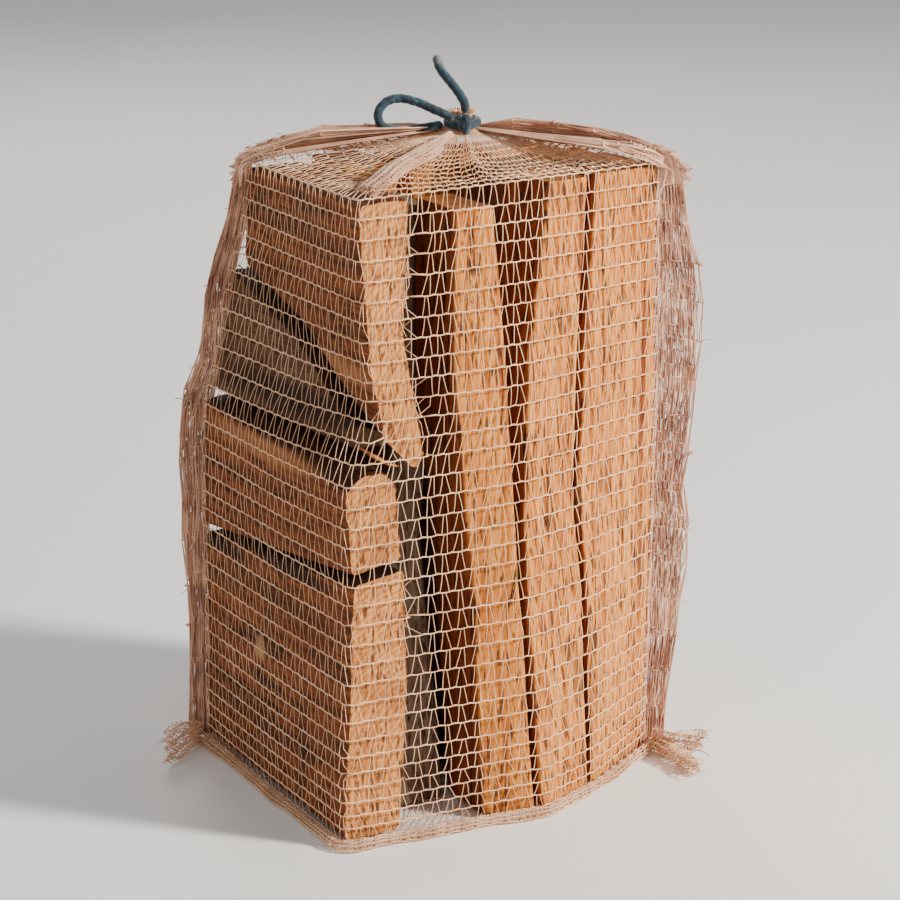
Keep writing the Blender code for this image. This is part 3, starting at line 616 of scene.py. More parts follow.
def wood_piece(name, material, seed, bark_side=None):
    """A fine skin over one solid piece: rings across the grain, torn and sawn."""
    crosswise = name.startswith("block_")
    along = 1 if crosswise else 2
    across = [0, 2] if crosswise else [0, 1]
    places, triangles = merged_triangles(name)
    low_plane, high_plane = end_planes(places, triangles, along, across)
    base = np.column_stack((np.ones(len(places)), places[:, across[0]], places[:, across[1]]))
    starts, ends = base @ low_plane, base @ high_plane
    level = (places[:, along] - starts) / (ends - starts)
    margin = 0.0004
    lowest = max(margin, float(level[level < 0.06].max()) + margin)
    highest = min(1 - margin, float(level[level > 0.94].min()) - margin)
    length = float(np.mean(ends - starts))
    near_end = np.array(END_STEPS) / length
    middle = np.linspace(lowest + END_REACH / length, highest - END_REACH / length,
                         max(8, round(length / RING_STEP)))
    values = np.concatenate((lowest + near_end, middle, highest - near_end[::-1]))
    sample = section(places, triangles, level, 0.5 * (lowest + highest))
    perimeter = path_length(np.vstack((sample, sample[:1])))
    count = int(round(perimeter / SKIN_STEP))
    rings = []
    for value in values:
        flat = even_outline(section(places, triangles, level, value), across, count)
        plan = np.column_stack((np.ones(count), flat))
        ring = np.zeros((count, 3))
        ring[:, across] = flat
        ring[:, along] = (plan @ low_plane) * (1 - value) + (plan @ high_plane) * value
        rings.append(ring)
    rings = np.array(rings)
    centres = rings.mean(axis=1, keepdims=True)
    tangents = np.roll(rings, -1, axis=1) - np.roll(rings, 1, axis=1)
    tangents[..., along] = 0.0
    tangents = unit(tangents)
    inward = np.zeros_like(rings)
    inward[..., across[0]] = -tangents[..., across[1]]
    inward[..., across[1]] = tangents[..., across[0]]
    toward = np.sign(np.sum(inward * (centres - rings), axis=-1, keepdims=True).sum(axis=1, keepdims=True))
    inward = inward * toward
    depth = grain_relief(rings, along, seed, RELIEF["grain"])
    if bark_side is not None:
        facing = -inward @ np.array(bark_side)
        stretch = np.array([130.0, 130.0, 40.0])
        plates = np.abs(2 * value_noise(rings * stretch, seed + 9) - 1.0)
        depth = np.where(facing > 0.3, RELIEF["bark"] * (1 - plates) * 0.8 + 0.4 * depth, depth)
    frayed = 0.0007 * value_noise(rings * 380.0, seed + 4) * np.array(
        [1.0 if row in (0, len(rings) - 1) else 0.4 if row in (1, len(rings) - 2) else 0.0
         for row in range(len(rings))])[:, None]
    rings = rings + inward * (depth + frayed)[..., None]
    rows = list(rings)
    for end in (0, -1):
        rim = rings[end]
        centre = rim.mean(axis=0)
        inner = []
        for share in SAWN_SHARES:
            ring = rim + (centre - rim) * share
            saw = value_noise(ring * np.array((900.0, 260.0, 260.0)), seed + 5)
            wear = value_noise(ring * 120.0, seed + 6)
            sink = 0.00035 * saw + 0.0005 * wear
            ring[:, along] += sink if end == 0 else -sink
            inner.append(ring)
        rows = inner[::-1] + rows if end == 0 else rows + inner
    points = np.array(rows)
    if not crosswise:
        points[..., 2] = np.maximum(points[..., 2], GROUND)
    else:
        points[..., 2] = np.maximum(points[..., 2], min(GROUND, float(places[:, 2].min()) + 0.0002))
    total_rows = len(points)
    index = np.arange(total_rows * count).reshape(total_rows, count)
    faces = quads_between(index[:-1], index[1:])
    flat_points = points.reshape(-1, 3)
    first_centre, last_centre = len(flat_points), len(flat_points) + 1
    flat_points = np.vstack((flat_points, points[0].mean(axis=0), points[-1].mean(axis=0)))
    for column in range(count):
        following = (column + 1) % count
        faces.append([int(index[0][following]), int(index[0][column]), first_centre])
        faces.append([int(index[-1][column]), int(index[-1][following]), last_centre])
    if crosswise:
        faces = [face[::-1] for face in faces]
    piece = mesh_object(name + "_wood", flat_points, faces, material, WOOD_SLOTS[name])
    piece.data.set_sharp_from_angle(angle=SHARP_ANGLE)
    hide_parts(name)
    return rings.reshape(-1, 3), flat_points, faces


WOOD_SLOTS = {
    "block_upper_left": "warm_wood", "block_recessed": "weathered_wood", "block_middle_left": "warm_wood",
    "block_lower_left": "warm_wood", "stick_centre": "pale_wood", "stick_right": "pale_wood",
    "stick_far_right": "pale_wood", "stick_weathered": "weathered_wood", "stick_inner_left": "pale_wood",
    "stick_inner_middle": "pale_wood", "stick_inner_right": "pale_wood", "stick_back_left": "pale_wood",
    "quarter_log_back": "barked_wood", "quarter_log_corner": "barked_wood",
}

PALE_KNOT = srgb(196, 150, 100)
DARK_KNOT = srgb(84, 48, 28)
# Dark patches and bands on single pieces
DARK_PATCH = srgb(62, 38, 26)
DEEP_SHADE = srgb(30, 17, 12)

# Marks on single pieces: centre in the pile's plan, radii, tone, strength
MARKS = {
    "block_recessed": (((-0.090, 0.010, 0.215), (0.030, 0.100, 0.012), DEEP_SHADE, 0.8),),
    "block_upper_left": (((-0.091, 0.039, 0.313), (0.010, 0.012, 0.007), DARK_PATCH, 0.75),
                         ((-0.091, -0.003, 0.324), (0.010, 0.016, 0.005), DARK_PATCH, 0.65),
                         ((-0.088, -0.020, 0.240), (0.012, 0.060, 0.011), srgb(190, 128, 84), 0.6)),
    "block_middle_left": (((-0.086, 0.000, 0.204), (0.030, 0.120, 0.006), DEEP_SHADE, 0.95),
                          ((-0.107, 0.010, 0.190), (0.012, 0.080, 0.008), srgb(190, 130, 86), 0.5),
                          ((-0.105, 0.023, 0.180), (0.004, 0.006, 0.004), DARK_PATCH, 0.8)),
    "block_lower_left": (((-0.084, 0.000, 0.140), (0.026, 0.120, 0.012), DEEP_SHADE, 0.95),
                         ((-0.108, 0.060, 0.121), (0.008, 0.045, 0.006), DEEP_SHADE, 0.95),
                         ((-0.106, -0.010, 0.130), (0.008, 0.055, 0.006), DEEP_SHADE, 0.90),
                         ((-0.108, 0.018, 0.077), (0.010, 0.009, 0.010), PALE_KNOT, 0.85),
                         ((-0.108, 0.015, 0.060), (0.010, 0.014, 0.006), DARK_PATCH, 0.85),
                         ((-0.109, 0.008, 0.100), (0.010, 0.006, 0.035), DARK_PATCH, 0.5),
                         ((-0.110, -0.030, 0.030), (0.010, 0.008, 0.050), DARK_PATCH, 0.6)),
    "stick_far_right": (((0.055, -0.070, 0.168), (0.009, 0.010, 0.014), DARK_KNOT, 0.6),
                        ((0.082, -0.062, 0.114), (0.006, 0.008, 0.020), DARK_KNOT, 0.5),
                        ((0.040, -0.080, 0.085), (0.006, 0.010, 0.016), DARK_KNOT, 0.5)),
    "stick_right": (((0.023, -0.086, 0.085), (0.009, 0.012, 0.012), DARK_KNOT, 0.65),
                    ((0.028, -0.082, 0.066), (0.005, 0.010, 0.018), DARK_PATCH, 0.5)),
}

WOOD_KINDS = {
    "block_upper_left": "red", "block_recessed": "dark", "block_middle_left": "red",
    "block_lower_left": "red", "stick_centre": "warm", "stick_right": "warm",
    "stick_far_right": "warm", "stick_weathered": "grey",
    "stick_inner_left": "inner", "stick_inner_middle": "inner", "stick_inner_right": "warm",
    "stick_back_left": "warm", "quarter_log_back": "warm", "quarter_log_corner": "warm",
}
# Painted shade multipliers for the upward faces of crosswise blocks; blocks not listed get a darker default
PAINTED_TOP_SHADE = {"block_upper_left": (0.62, 0.50, 0.46, 1.0)}
BARK_SIDES = {"quarter_log_back": (0.10, 0.99, 0.0), "quarter_log_corner": (0.62, 0.78, 0.0)}
# Sticks whose left faces get painted shade
PAINTED_SHADE_LEFT = ("stick_centre", "stick_right", "stick_far_right")
PITH_DISTANCE = 0.045


def add_splinter(material):
    """A torn splinter that hangs from the tip of the upper block."""
    run = np.array(((-0.0915, -0.0600, 0.2075), (-0.0860, -0.0664, 0.2035), (-0.0795, -0.0680, 0.1990),
                    (-0.0730, -0.0684, 0.1965))) + SHIFT
    path = resample(run, 14)
    width = 0.0011 * np.sin(np.linspace(0.25, math.pi - 0.1, 14)) + 0.0002
    guides = np.broadcast_to(np.array((0.0, 0.2, 1.0)), path.shape)
    points, faces = tubes(path[None], guides[None], width[None], 5)
    splinter = mesh_object("splinter", points, faces, material, "warm_wood")
    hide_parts("block_upper_left")


def add_wood():
    """All fourteen pieces. Returns their outer points, and a search tree over their skins."""
    outline_points = []
    skins = []
    for place, name in enumerate(WOOD_SLOTS):
        low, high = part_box(name)
        crosswise = name.startswith("block_")
        centre = (low + high) / 2
        if name in BARK_SIDES:
            away = BARK_SIDES[name]
            pith = (centre.x - PITH_DISTANCE * away[0], centre.y - PITH_DISTANCE * away[1])
        elif crosswise:
            pith = (centre.x + 0.05, -(centre.z - 0.05))
        else:
            pith = (centre.x + PITH_DISTANCE, centre.y + 0.030)
        material = wood_material(name, WOOD_KINDS[name], 3.1 + 5.7 * place, crosswise, pith,
                                 MARKS.get(name, ()), BARK_SIDES.get(name),
                                 painted_shade_left=name in PAINTED_SHADE_LEFT)
        rim, points, faces = wood_piece(name, material, 40 + place, BARK_SIDES.get(name))
        if name == "block_upper_left":
            add_splinter(material)
        outline_points.append(rim)
        skins.append((points, faces))
    points, faces = joined(skins)
    tree = BVHTree.FromPolygons(points.tolist(), faces)
    return np.vstack(outline_points), tree


# The net

def cleared(points, tree, clearance):
    """The points, with those in or close to the wood moved out to the clearance."""
    flat = points.reshape(-1, 3).copy()
    for place, point in enumerate(flat):
        spot, normal, _, distance = tree.find_nearest(Vector(point), clearance * 6)
        if spot is None:
            continue
        outside = (Vector(point) - spot).dot(normal) >= 0
        if distance < clearance or not outside:
            away = (Vector(point) - spot).normalized() if outside and distance > 1e-5 else normal
            flat[place] = spot + away * clearance
    return flat.reshape(points.shape)


def side_rings(wood_points):
    """Rings of the net round the pile, from the lowest row to the highest, with even stitches."""
    pitch = np.minimum(1.0, np.linspace(0.64, 1.9, SIDE_ROWS - 1))
    heights = LOW_ROW + (HIGH_ROW - LOW_ROW) * np.concatenate(([0.0], np.cumsum(pitch) / pitch.sum()))
    front = np.linspace(LEFT_SEAM, RIGHT_SEAM, 260)
    back = np.linspace(RIGHT_SEAM, LEFT_SEAM + 2 * np.pi, 200)
    rings = []
    for height in heights:
        near = wood_points[np.abs(wood_points[:, 2] - height) < 0.013]
        halves = []
        for angles, columns in ((front, FRONT_COLUMNS), (back, BACK_COLUMNS)):
            ways = np.stack((np.cos(angles), np.sin(angles)), axis=1)
            best = near[np.argmax(near[:, :2] @ ways.T, axis=0), :2]
            halves.append(resample(best + ways * 0.0019, columns + 1)[:-1])
        ring = np.vstack(halves)
        rings.append(np.column_stack((ring, np.full(len(ring), height))))
    rings = np.array(rings)
    for _ in range(3):
        rings[1:-1, :, :2] = 0.25 * rings[:-2, :, :2] + 0.5 * rings[1:-1, :, :2] + 0.25 * rings[2:, :, :2]
    drift = value_noise(rings * np.array((16.0, 16.0, 40.0)), 71) - 0.5
    rings[1:-1, :, 2] += 0.0022 * drift[1:-1]
    return rings


# Folds of the net over the top: direction from the neck, spread, pull, height
TOP_FOLDS = (
    (math.radians(-145.0), math.radians(20.0), 0.92, 0.0070),
    (math.radians(-42.0), math.radians(24.0), 0.86, 0.0085),
    (math.radians(158.0), math.radians(24.0), 0.86, 0.0105),
    (math.radians(-112.0), math.radians(9.0), 0.60, 0.0020),
    (math.radians(75.0), math.radians(24.0), 0.60, 0.0030),
)


def top_rings(rim):
    """Rings from the highest row over the sawn ends to the neck, drawn into folds."""
    offset = rim[:, :2] - NECK[:2]
    reach = np.linalg.norm(offset, axis=1)
    angles = np.arctan2(offset[:, 1], offset[:, 0])
    rings = []
    for row in range(1, TOP_ROWS + 1):
        share = row / TOP_ROWS
        turned = angles.copy()
        rise = np.zeros(len(angles))
        for direction, spread, pull, height in TOP_FOLDS:
            away = (angles - direction + np.pi) % (2 * np.pi) - np.pi
            eased = min(1.0, share / 0.35)
            eased = eased * eased * (3 - 2 * eased)
            turned -= away * pull * eased * np.exp(-(away / spread) ** 2)
            rise += height * np.exp(-(away / (0.45 * spread)) ** 2) * min(1.0, 3.2 * share) * (1 - share ** 3)
        radius = reach * (1 - share) + (NECK_RADIUS + 0.0006) * share
        heights = HIGH_ROW + 0.0006 + (NECK[2] - 0.0022 - HIGH_ROW) * share ** 2.6 + rise
        noise_place = np.stack((np.cos(turned) * radius, np.sin(turned) * radius, heights * 0), axis=1)
        slack = 0.0030 * (0.5 - value_noise(noise_place * 45.0, 77)) * math.sin(math.pi * share)
        rings.append(np.column_stack((NECK[0] + radius * np.cos(turned), NECK[1] + radius * np.sin(turned),
                                      heights + slack)))
    return np.array(rings)


def under_rings(lowest):
    """Rings under the pile, from the bottom seam out to the lowest row."""
    left, right = lowest[0, :2], lowest[FRONT_COLUMNS, :2]
    run = right - left
    side = unit(np.array((run[1], -run[0]))) * 0.0006
    feet = np.zeros((len(lowest), 2))
    for column in range(len(lowest)):
        if column <= FRONT_COLUMNS:
            feet[column] = left + run * column / FRONT_COLUMNS + side
        else:
            feet[column] = right - run * (column - FRONT_COLUMNS) / BACK_COLUMNS - side
    rings = []
    for row in range(UNDER_ROWS):
        share = 1 - row / UNDER_ROWS
        place = lowest[:, :2] + (feet - lowest[:, :2]) * (0.03 + 0.97 * share)
        rings.append(np.column_stack((place, np.full(len(place), 0.0015))))
    return np.array(rings)


def surface_normals(grid, closed):
    """Outward directions of a grid of points, rows by columns."""
    up = np.gradient(grid, axis=0)
    if closed:
        along = np.roll(grid, -1, axis=1) - np.roll(grid, 1, axis=1)
    else:
        along = np.gradient(grid, axis=1)
    return unit(np.cross(along, up))


def tubes(paths, guides, radii, sides, closed=False):
    """Points and quads of a thin tube along each path of points."""
    if closed:
        tangents = unit(np.roll(paths, -1, axis=1) - np.roll(paths, 1, axis=1))
    else:
        tangents = unit(np.gradient(paths, axis=1))
    normals = unit(guides - tangents * np.sum(guides * tangents, axis=-1, keepdims=True))
    sideways = np.cross(tangents, normals)
    angles = 2 * np.pi * (np.arange(sides) + 0.25) / sides
    reach = np.broadcast_to(radii, paths.shape[:2])[..., None, None]
    ring = paths[:, :, None, :] + reach * (np.cos(angles)[:, None] * normals[:, :, None, :]
                                           + np.sin(angles)[:, None] * sideways[:, :, None, :])
    index = np.arange(ring.size // 3).reshape(ring.shape[:3])
    after = np.roll(index, -1, axis=1) if closed else index[:, 1:]
    start = index if closed else index[:, :-1]
    return ring.reshape(-1, 3), quads_between(start, after)


def chain_rows(grid, tree, closed=True, radius=CHAIN_RADIUS, seed=1):
    """The knitted threads along the rows, thicker at each stitch and a little slack between stitches."""
    normals = surface_normals(grid, closed)
    if closed:
        between = (grid + np.roll(grid, -1, axis=1)) / 2
        between_normals = normals + np.roll(normals, -1, axis=1)
        paths = np.stack((grid, between), axis=2).reshape(len(grid), -1, 3)
        guides = np.stack((normals, between_normals), axis=2).reshape(len(grid), -1, 3)
    else:
        paths, guides = grid, normals
    stitch = np.arange(paths.shape[1])
    slack = -0.00055 * np.abs(np.sin(np.pi * stitch / 4.0))
    paths = paths + slack[None, :, None] * np.array((0.0, 0.0, 1.0))
    paths = paths + 0.00020 * (value_noise(paths * 700.0, seed)[..., None] - 0.5) * unit(guides)
    if tree is not None:
        paths = cleared(paths, tree, WOOD_CLEARANCE)
    radii = radius * (0.86 + 0.34 * (np.cos(np.pi * stitch / 2.0) > 0.5))[None, :]
    return tubes(paths, unit(guides), radii, 4, closed)


def zigzag_strands(grid, tree, closed=True, radius=STRAND_RADIUS, seed=2, bow=0.0004, slant=1.0):
    """Thin strands that climb from row to row, leaning to and fro."""
    rows, columns = grid.shape[:2]
    normals = surface_normals(grid, closed)
    count = columns if closed else columns - 1
    strand = np.arange(count)
    upper = strand + np.where(strand % 2 == 0, 0.5 + 0.32 * slant, 0.5 - 0.32 * slant)
    lower = strand + np.where(strand % 2 == 0, 0.5 - 0.10 * slant, 0.5 + 0.10 * slant)
    if not closed:
        upper, lower = np.clip(upper, 0.0, count), np.clip(lower, 0.0, count)
    jitter = lattice_value(np.stack(np.broadcast_arrays(
        np.arange(rows)[:, None], np.arange(columns + 1)[None, :], 0), axis=-1), seed) - 0.5
    paths, guides = [], []
    for row in range(rows - 1):
        ends = []
        for which, place in ((row, lower), (row + 1, upper)):
            shifted = place + 0.55 * jitter[which, np.round(place).astype(int)]
            whole = np.floor(shifted).astype(int)
            share = (shifted - whole)[:, None]
            if closed:
                first, second = whole % columns, (whole + 1) % columns
            else:
                first, second = np.clip(whole, 0, columns - 1), np.clip(whole + 1, 0, columns - 1)
            ends.append((grid[which, first] * (1 - share) + grid[which, second] * share,
                         normals[which, first % columns]))
        start, end = ends[0][0], ends[1][0]
        guide = unit(ends[0][1] + ends[1][1])
        lean = (value_noise(np.column_stack((strand * 0.7, strand * 0 + row * 3.1, strand * 0.0)), seed)
                - 0.5)[:, None]
        aside = unit(np.cross(end - start, guide))
        steps = [start + (end - start) * share + aside * lean * bow * 4 * share * (1 - share)
                 + guide * bow * 0.5 * 4 * share * (1 - share) for share in (0.0, 0.5, 1.0)]
        paths.append(np.stack(steps, axis=1))
        guides.append(np.repeat(guide[:, None, :], 3, axis=1))
    paths = np.vstack(paths)
    guides = np.vstack(guides)
    if tree is not None:
        paths = cleared(paths, tree, WOOD_CLEARANCE * 0.8)
    return tubes(paths, guides, radius, 3)


def seam_line(sides, top, column, lying, from_foot=True):
    """Points along a seam up to the neck, and the way its ribbon stands out at each of them."""
    angle = LEFT_SEAM if column == 0 else RIGHT_SEAM
    outward = np.array((math.cos(angle), math.sin(angle), 0.0))
    line = np.vstack((sides[:, column], top[:, column]))
    over = np.concatenate((np.zeros(len(sides) - 1), (0.35, 0.7), np.ones(len(top) - 1)))[:, None]
    if not from_foot:
        line = line[len(sides) - 2:]
        over = over[len(sides) - 2:]
    ways = unit(outward * (1 - over) + np.array(lying) * over)
    return np.hstack((line, ways))


def seam_ribbon(line, widths, layer, seed):
    """Bunched net beside a corner of the sack: folds that stand out from it, with a ragged edge."""
    line = resample(line, 2 * len(line) - 3 * layer)
    places, ways = line[:, :3], unit(line[:, 3:])
    walked = distances(places)
    sideways = unit(np.cross(unit(np.gradient(places, axis=0)), ways))
    steps = np.linspace(0.0, 1.0, SEAM_STITCHES)
    count = len(places)
    probe = np.stack((walked * 38.0, np.full(count, 0.3), np.full(count, seed)), axis=1)
    wide = value_noise(probe, seed)
    ragged = value_noise(probe * np.array((3.4, 1.0, 1.0)), seed + 1 + layer)
    sway = value_noise(probe * np.array((0.8, 1.0, 1.0)), seed + 2)
    width = np.interp(walked, *widths) * (0.70 + 0.34 * wide + 0.34 * ragged) * (1.0 - 0.04 * layer)
    taper = np.clip((walked[-1] - walked) / 0.022, 0.12, 1.0)
    width = width * taper
    inner = 0.0040 * taper
    phase = 0.8 * sway + 0.27 * layer
    folds = (0.0012 + 0.0005 * layer) * np.sin(2 * np.pi * (2.3 * steps[None, :] + phase[:, None]))
    folds = folds * (0.3 + 0.7 * steps[None, :]) + (0.0070 * (sway - 0.5))[:, None] * steps[None, :]
    folds += 0.0011 * (layer - 1.5) * steps[None, :]
    sag = np.outer(np.full(count, 0.0030), steps ** 2)[..., None] * np.array((0.0, 0.0, 1.0))
    sheet = (places[:, None] + (np.outer(width + inner, steps) - inner[:, None])[..., None] * ways[:, None]
             + (folds * taper[:, None])[..., None] * sideways[:, None] - sag * taper[:, None, None])
    sheet[..., 2] = np.maximum(sheet[..., 2], NET_FLOOR)
    return sheet


def fold_line(top, direction):
    """Points along a fold from the rim to the neck, and the way its bunched net lies."""
    offset = top[0, :, :2] - NECK[:2]
    turn = (np.arctan2(offset[:, 1], offset[:, 0]) - direction + np.pi) % (2 * np.pi) - np.pi
    line = top[:-1, int(np.argmin(np.abs(turn)))] + np.array((0.0, 0.0, 0.0012))
    way = np.array((-math.sin(direction), math.cos(direction), 0.35))
    return resample(np.hstack((line, np.broadcast_to(unit(way), line.shape))), 20)


def ear_grid(stations, folds, seed):
    """A gathered corner of net: (middle, height, depth) from its root to its tip."""
    middles = resample(np.array([station[0] for station in stations]) + SHIFT, 15)
    shares = np.linspace(0.0, 1.0, len(stations))
    fine = np.linspace(0.0, 1.0, 15)
    heights = np.interp(fine, shares, [station[1] for station in stations])
    depths = np.interp(fine, shares, [station[2] for station in stations])
    outward = unit(middles[-1] - middles[0])
    sideways = unit(np.array((-outward[1], outward[0], 0.0)))
    steps = np.linspace(-1.0, 1.0, 19)
    rows = []
    for row, (middle, height, depth) in enumerate(zip(middles, heights, depths)):
        probe = np.column_stack((steps * 2.2, np.full(19, row * 0.55), np.full(19, seed * 1.0)))
        crumple = value_noise(probe, seed) - 0.5
        fold = depth * 0.5 * np.sin(np.pi * folds * steps + 0.5 * row) + 0.003 * crumple
        reach = outward * 0.006 * (crumple * fine[row])[:, None]
        rows.append(middle + np.outer(fold, sideways) + np.outer(steps * height / 2, (0.0, 0.0, 1.0)) + reach)
    grid = np.array(rows)
    grid[..., 2] = np.maximum(grid[..., 2], NET_FLOOR)
    return grid


def hem_grid(lowest, seed):
    """The rolled hem round the foot of the pile."""
    line = resample(lowest, (len(lowest) - 1) * 2)
    tangents = unit(np.gradient(line, axis=0))
    outward = np.cross(tangents, (0.0, 0.0, 1.0))
    outward[:, 2] = 0.0
    outward = unit(outward)
    rows = []
    for angle in np.linspace(math.radians(200), math.radians(-150), 9):
        probe = np.column_stack((np.arange(len(line)) * 0.11, np.full(len(line), angle),
                                 np.full(len(line), 1.0)))
        swell = 0.0026 * (0.70 + 0.8 * value_noise(probe, seed))
        rows.append(line + outward * (0.0010 + swell * (1.0 + math.cos(angle)) * 0.8)[:, None]
                    + np.outer(0.0030 - line[:, 2] + swell * math.sin(angle) * 1.15, (0.0, 0.0, 1.0)))
    grid = np.array(rows)
    grid[..., 2] = np.maximum(grid[..., 2], NET_FLOOR)
    return grid


def edge_thread(edge):
    """The thread that runs along the open edge of a sheet of net."""
    guides = np.broadcast_to(np.array((0.3, 0.2, 0.93)), edge.shape)
    return tubes(edge[None], guides[None], 0.00038, 4)


def loose_ends(edge, outward, count, seed, radius=STRAND_RADIUS * 1.15, longest=0.0050):
    """Short broken threads along an edge."""
    paths = []
    for which in range(count):
        draws = lattice_value(np.array([[which, 1, 5], [which, 2, 5], [which, 3, 5], [which, 4, 5]]), seed)
        base = edge[int(draws[0] * (len(edge) - 1))]
        length = 0.0022 + longest * draws[1] ** 2
        way = unit(outward + np.array((0.0, 0.0, 1.6 * (draws[2] - 0.5)))
                   + np.array((-outward[1], outward[0], 0.0)) * 1.4 * (draws[3] - 0.5))
        sag = np.array((0.0, 0.0, -0.25 * length))
        paths.append([base - way * 0.001, base + way * length * 0.5, base + way * length + sag])
    paths = np.array(paths)
    paths[..., 2] = np.maximum(paths[..., 2], THREAD_FLOOR)
    guides = np.broadcast_to(np.array((0.2, 0.3, 0.9)), paths.shape)
    return tubes(paths, guides, radius, 3)


def neck_rings():
    """The sack's mouth through the string, and the ruffle that opens above it."""
    pleats = 13
    profile = ((0.0052, -0.0030, 0.06), (0.0047, -0.0008, 0.05), (0.0046, 0.0020, 0.05),
               (0.0047, 0.0046, 0.05), (0.0048, 0.0056, 0.08), (0.0052, 0.0064, 0.12),
               (0.0056, 0.0071, 0.16), (0.0058, 0.0076, 0.20))
    rings = []
    for radius, rise, ripple in profile:
        angles = 2 * np.pi * np.arange(104) / 104
        probe = np.stack((np.cos(angles) * 2.5, np.sin(angles) * 2.5, np.full(104, rise * 60)), axis=1)
        rough = value_noise(probe, 91) - 0.5
        reach = radius * (1 + ripple * np.sin(pleats * angles) + (0.9 * ripple + 0.05) * rough)
        tall = NECK[2] + rise + rough * (0.0018 if rise > 0.007 else 0.0004)
        rings.append(np.column_stack((NECK[0] + reach * np.cos(angles),
                                      NECK[1] + reach * np.sin(angles), tall)))
    return np.array(rings)


def neck_core():
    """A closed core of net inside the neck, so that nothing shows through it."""
    rings = neck_rings()[:6]
    centre = np.array((NECK[0], NECK[1], 0.0))
    core = centre + (rings - centre) * np.array((0.93, 0.93, 1.0))
    core = np.concatenate((core[:1], core), axis=0)
    index = np.arange(core.size // 3).reshape(core.shape[:2])
    faces = quads_between(index[:-1], index[1:]) + [index[0][::-1].tolist(), index[-1].tolist()]
    core[0, :, 2] -= 0.0004
    return core.reshape(-1, 3), faces


def knitted(sheet, row_radius, strand_radius, seeds, closed=False, **lean):
    """The rows and the strands of a sheet of net that lies off the wood."""
    return [chain_rows(sheet, None, closed, row_radius, seeds[0]),
            zigzag_strands(sheet, None, closed, strand_radius, seeds[1], **lean)]


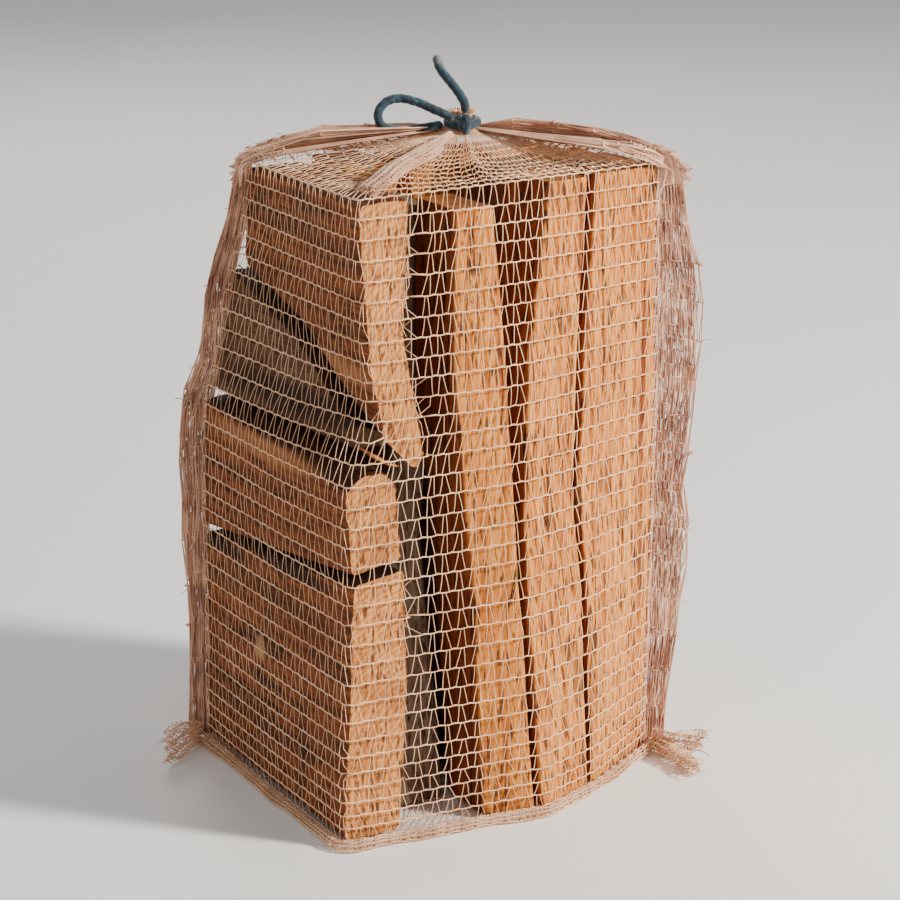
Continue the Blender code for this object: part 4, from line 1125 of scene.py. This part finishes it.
def add_net(wood_points, tree):
    material = net_material("net", srgb(222, 172, 132), srgb(250, 208, 168), srgb(190, 138, 104))
    # A darker copy of the net for the seams down the sides: painted shade
    bunched = net_material("bunched_net_painted_shade", srgb(176, 124, 100), srgb(228, 178, 146), srgb(140, 98, 80))
    drawn = net_material("drawn_net", srgb(212, 164, 134), srgb(248, 208, 176), srgb(180, 132, 106))
    sides = side_rings(wood_points)
    sides = cleared(sides, tree, WOOD_CLEARANCE)
    under = under_rings(sides[0])
    top = top_rings(sides[-1])
    top[:-2] = cleared(top[:-2], tree, WOOD_CLEARANCE)
    grid = np.concatenate((under, sides, top))
    chains = mesh_object("net_chains", *chain_rows(grid, tree), material, "net")
    strands = mesh_object("net_zigzag", *zigzag_strands(grid, tree), material, "net")
    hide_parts("net_sack")
    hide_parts("net_sack")

    seams = (
        ("net_seam_left", 0, (-0.10, -0.25, 1.0), True, 31, 38,
         ((0.0, 0.05, 0.10, 0.16, 0.22, 0.28, 0.33, 0.36, 0.43),
          (0.009, 0.008, 0.009, 0.012, 0.011, 0.009, 0.004, 0.006, 0.006))),
        ("net_seam_right", FRONT_COLUMNS, (-0.10, -0.25, 1.0), True, 37, 66,
         ((0.0, 0.03, 0.087, 0.17, 0.21, 0.26, 0.30, 0.33, 0.37, 0.44),
          (0.010, 0.010, 0.019, 0.018, 0.020, 0.023, 0.016, 0.008, 0.009, 0.009))),
        ("net_seam_left_top", 0, (-0.42, -0.80, 0.22), False, 32, 4,
         ((0.0, 0.012, 0.03, 0.06, 0.11), (0.001, 0.004, 0.022, 0.028, 0.014))),
        ("net_seam_right_top", FRONT_COLUMNS, (-0.42, -0.80, 0.16), False, 38, 6,
         ((0.0, 0.012, 0.03, 0.06, 0.11), (0.001, 0.005, 0.020, 0.028, 0.014))),
    )
    for name, column, lying, from_foot, seed, ends, widths in seams:
        line = seam_line(sides, top, column, lying, from_foot)
        layers = [seam_ribbon(line, widths, layer, seed) for layer in range(SEAM_LAYERS)]
        parts = []
        for layer, sheet in enumerate(layers):
            parts += knitted(sheet, SEAM_ROW_RADIUS, SEAM_STRAND_RADIUS,
                             (seed + 10 + layer, seed + 20 + layer), bow=0.0005, slant=2.5)
            parts.append(edge_thread(sheet[:, -1]))
        angle = LEFT_SEAM if column == 0 else RIGHT_SEAM
        outward = np.array((math.cos(angle), math.sin(angle), 0.0))
        parts.append(loose_ends(layers[0][:, -1], outward, ends, seed))
        if from_foot:
            for tuft in range(3):
                parts.append(loose_ends(layers[0][:, -1], outward, ends // 4, seed + 3,
                                        0.0005 + 0.0003 * tuft, 0.0044 - 0.0012 * tuft))
        # Seams down the sides take the darker net of painted shade
        seam = mesh_object(name, *joined(parts), bunched if from_foot else drawn, "net")
        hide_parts("net_sack")
    line = fold_line(top, TOP_FOLDS[0][0])
    parts = []
    for layer in range(SEAM_LAYERS):
        sheet = seam_ribbon(line, ((0.0, 0.03, 0.07, 0.12), (0.007, 0.005, 0.004, 0.002)), layer, 61)
        parts += knitted(sheet, FOLD_ROW_RADIUS, FOLD_STRAND_RADIUS, (130 + layer, 140 + layer))
    fold = mesh_object("net_fold", *joined(parts), drawn, "net")
    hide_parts("net_sack")
    left_ear = ear_grid((((-0.119, 0.077, 0.0080), 0.013, 0.004), ((-0.128, 0.070, 0.0105), 0.018, 0.006),
                         ((-0.140, 0.062, 0.0125), 0.023, 0.006), ((-0.147, 0.057, 0.0130), 0.019, 0.005)),
                        3.5, 41)
    right_upper = ear_grid((((0.092, -0.062, 0.0080), 0.012, 0.005), ((0.098, -0.074, 0.0095), 0.012, 0.007),
                            ((0.108, -0.086, 0.0120), 0.011, 0.006)), 3.0, 43)
    right_lower = ear_grid((((0.092, -0.063, 0.0060), 0.010, 0.006), ((0.094, -0.082, 0.0060), 0.010, 0.008),
                            ((0.092, -0.099, 0.0055), 0.009, 0.007)), 3.0, 47)
    hem = hem_grid(sides[0], 53)
    parts = []
    for piece, sheet in enumerate((left_ear, right_upper, right_lower)):
        parts += knitted(sheet, TRIM_ROW_RADIUS, TRIM_STRAND_RADIUS, (60 + piece, 70 + piece), bow=0.0006)
    parts += knitted(hem, FOLD_ROW_RADIUS, TRIM_STRAND_RADIUS, (65, 75))
    parts.append(loose_ends(left_ear[-1], np.array((-0.85, -0.5, 0.0)), 12, 83))
    parts.append(loose_ends(right_upper[-1], np.array((0.6, -0.78, 0.0)), 10, 84))
    parts.append(loose_ends(right_lower[-1], np.array((-0.1, -0.98, 0.0)), 10, 85))
    corners = mesh_object("net_corners", *joined(parts), material, "net")
    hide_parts("net_sack")

    mouth = knitted(neck_rings(), TRIM_ROW_RADIUS, FOLD_STRAND_RADIUS, (95, 96), closed=True)
    gather = mesh_object("net_gather", *joined([neck_core()] + mouth), material, "net")
    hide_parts("net_sack")


def main():
    add_camera()
    add_stage()
    add_string(string_material())
    wood_points, tree = add_wood()
    add_net(wood_points, tree)


main()
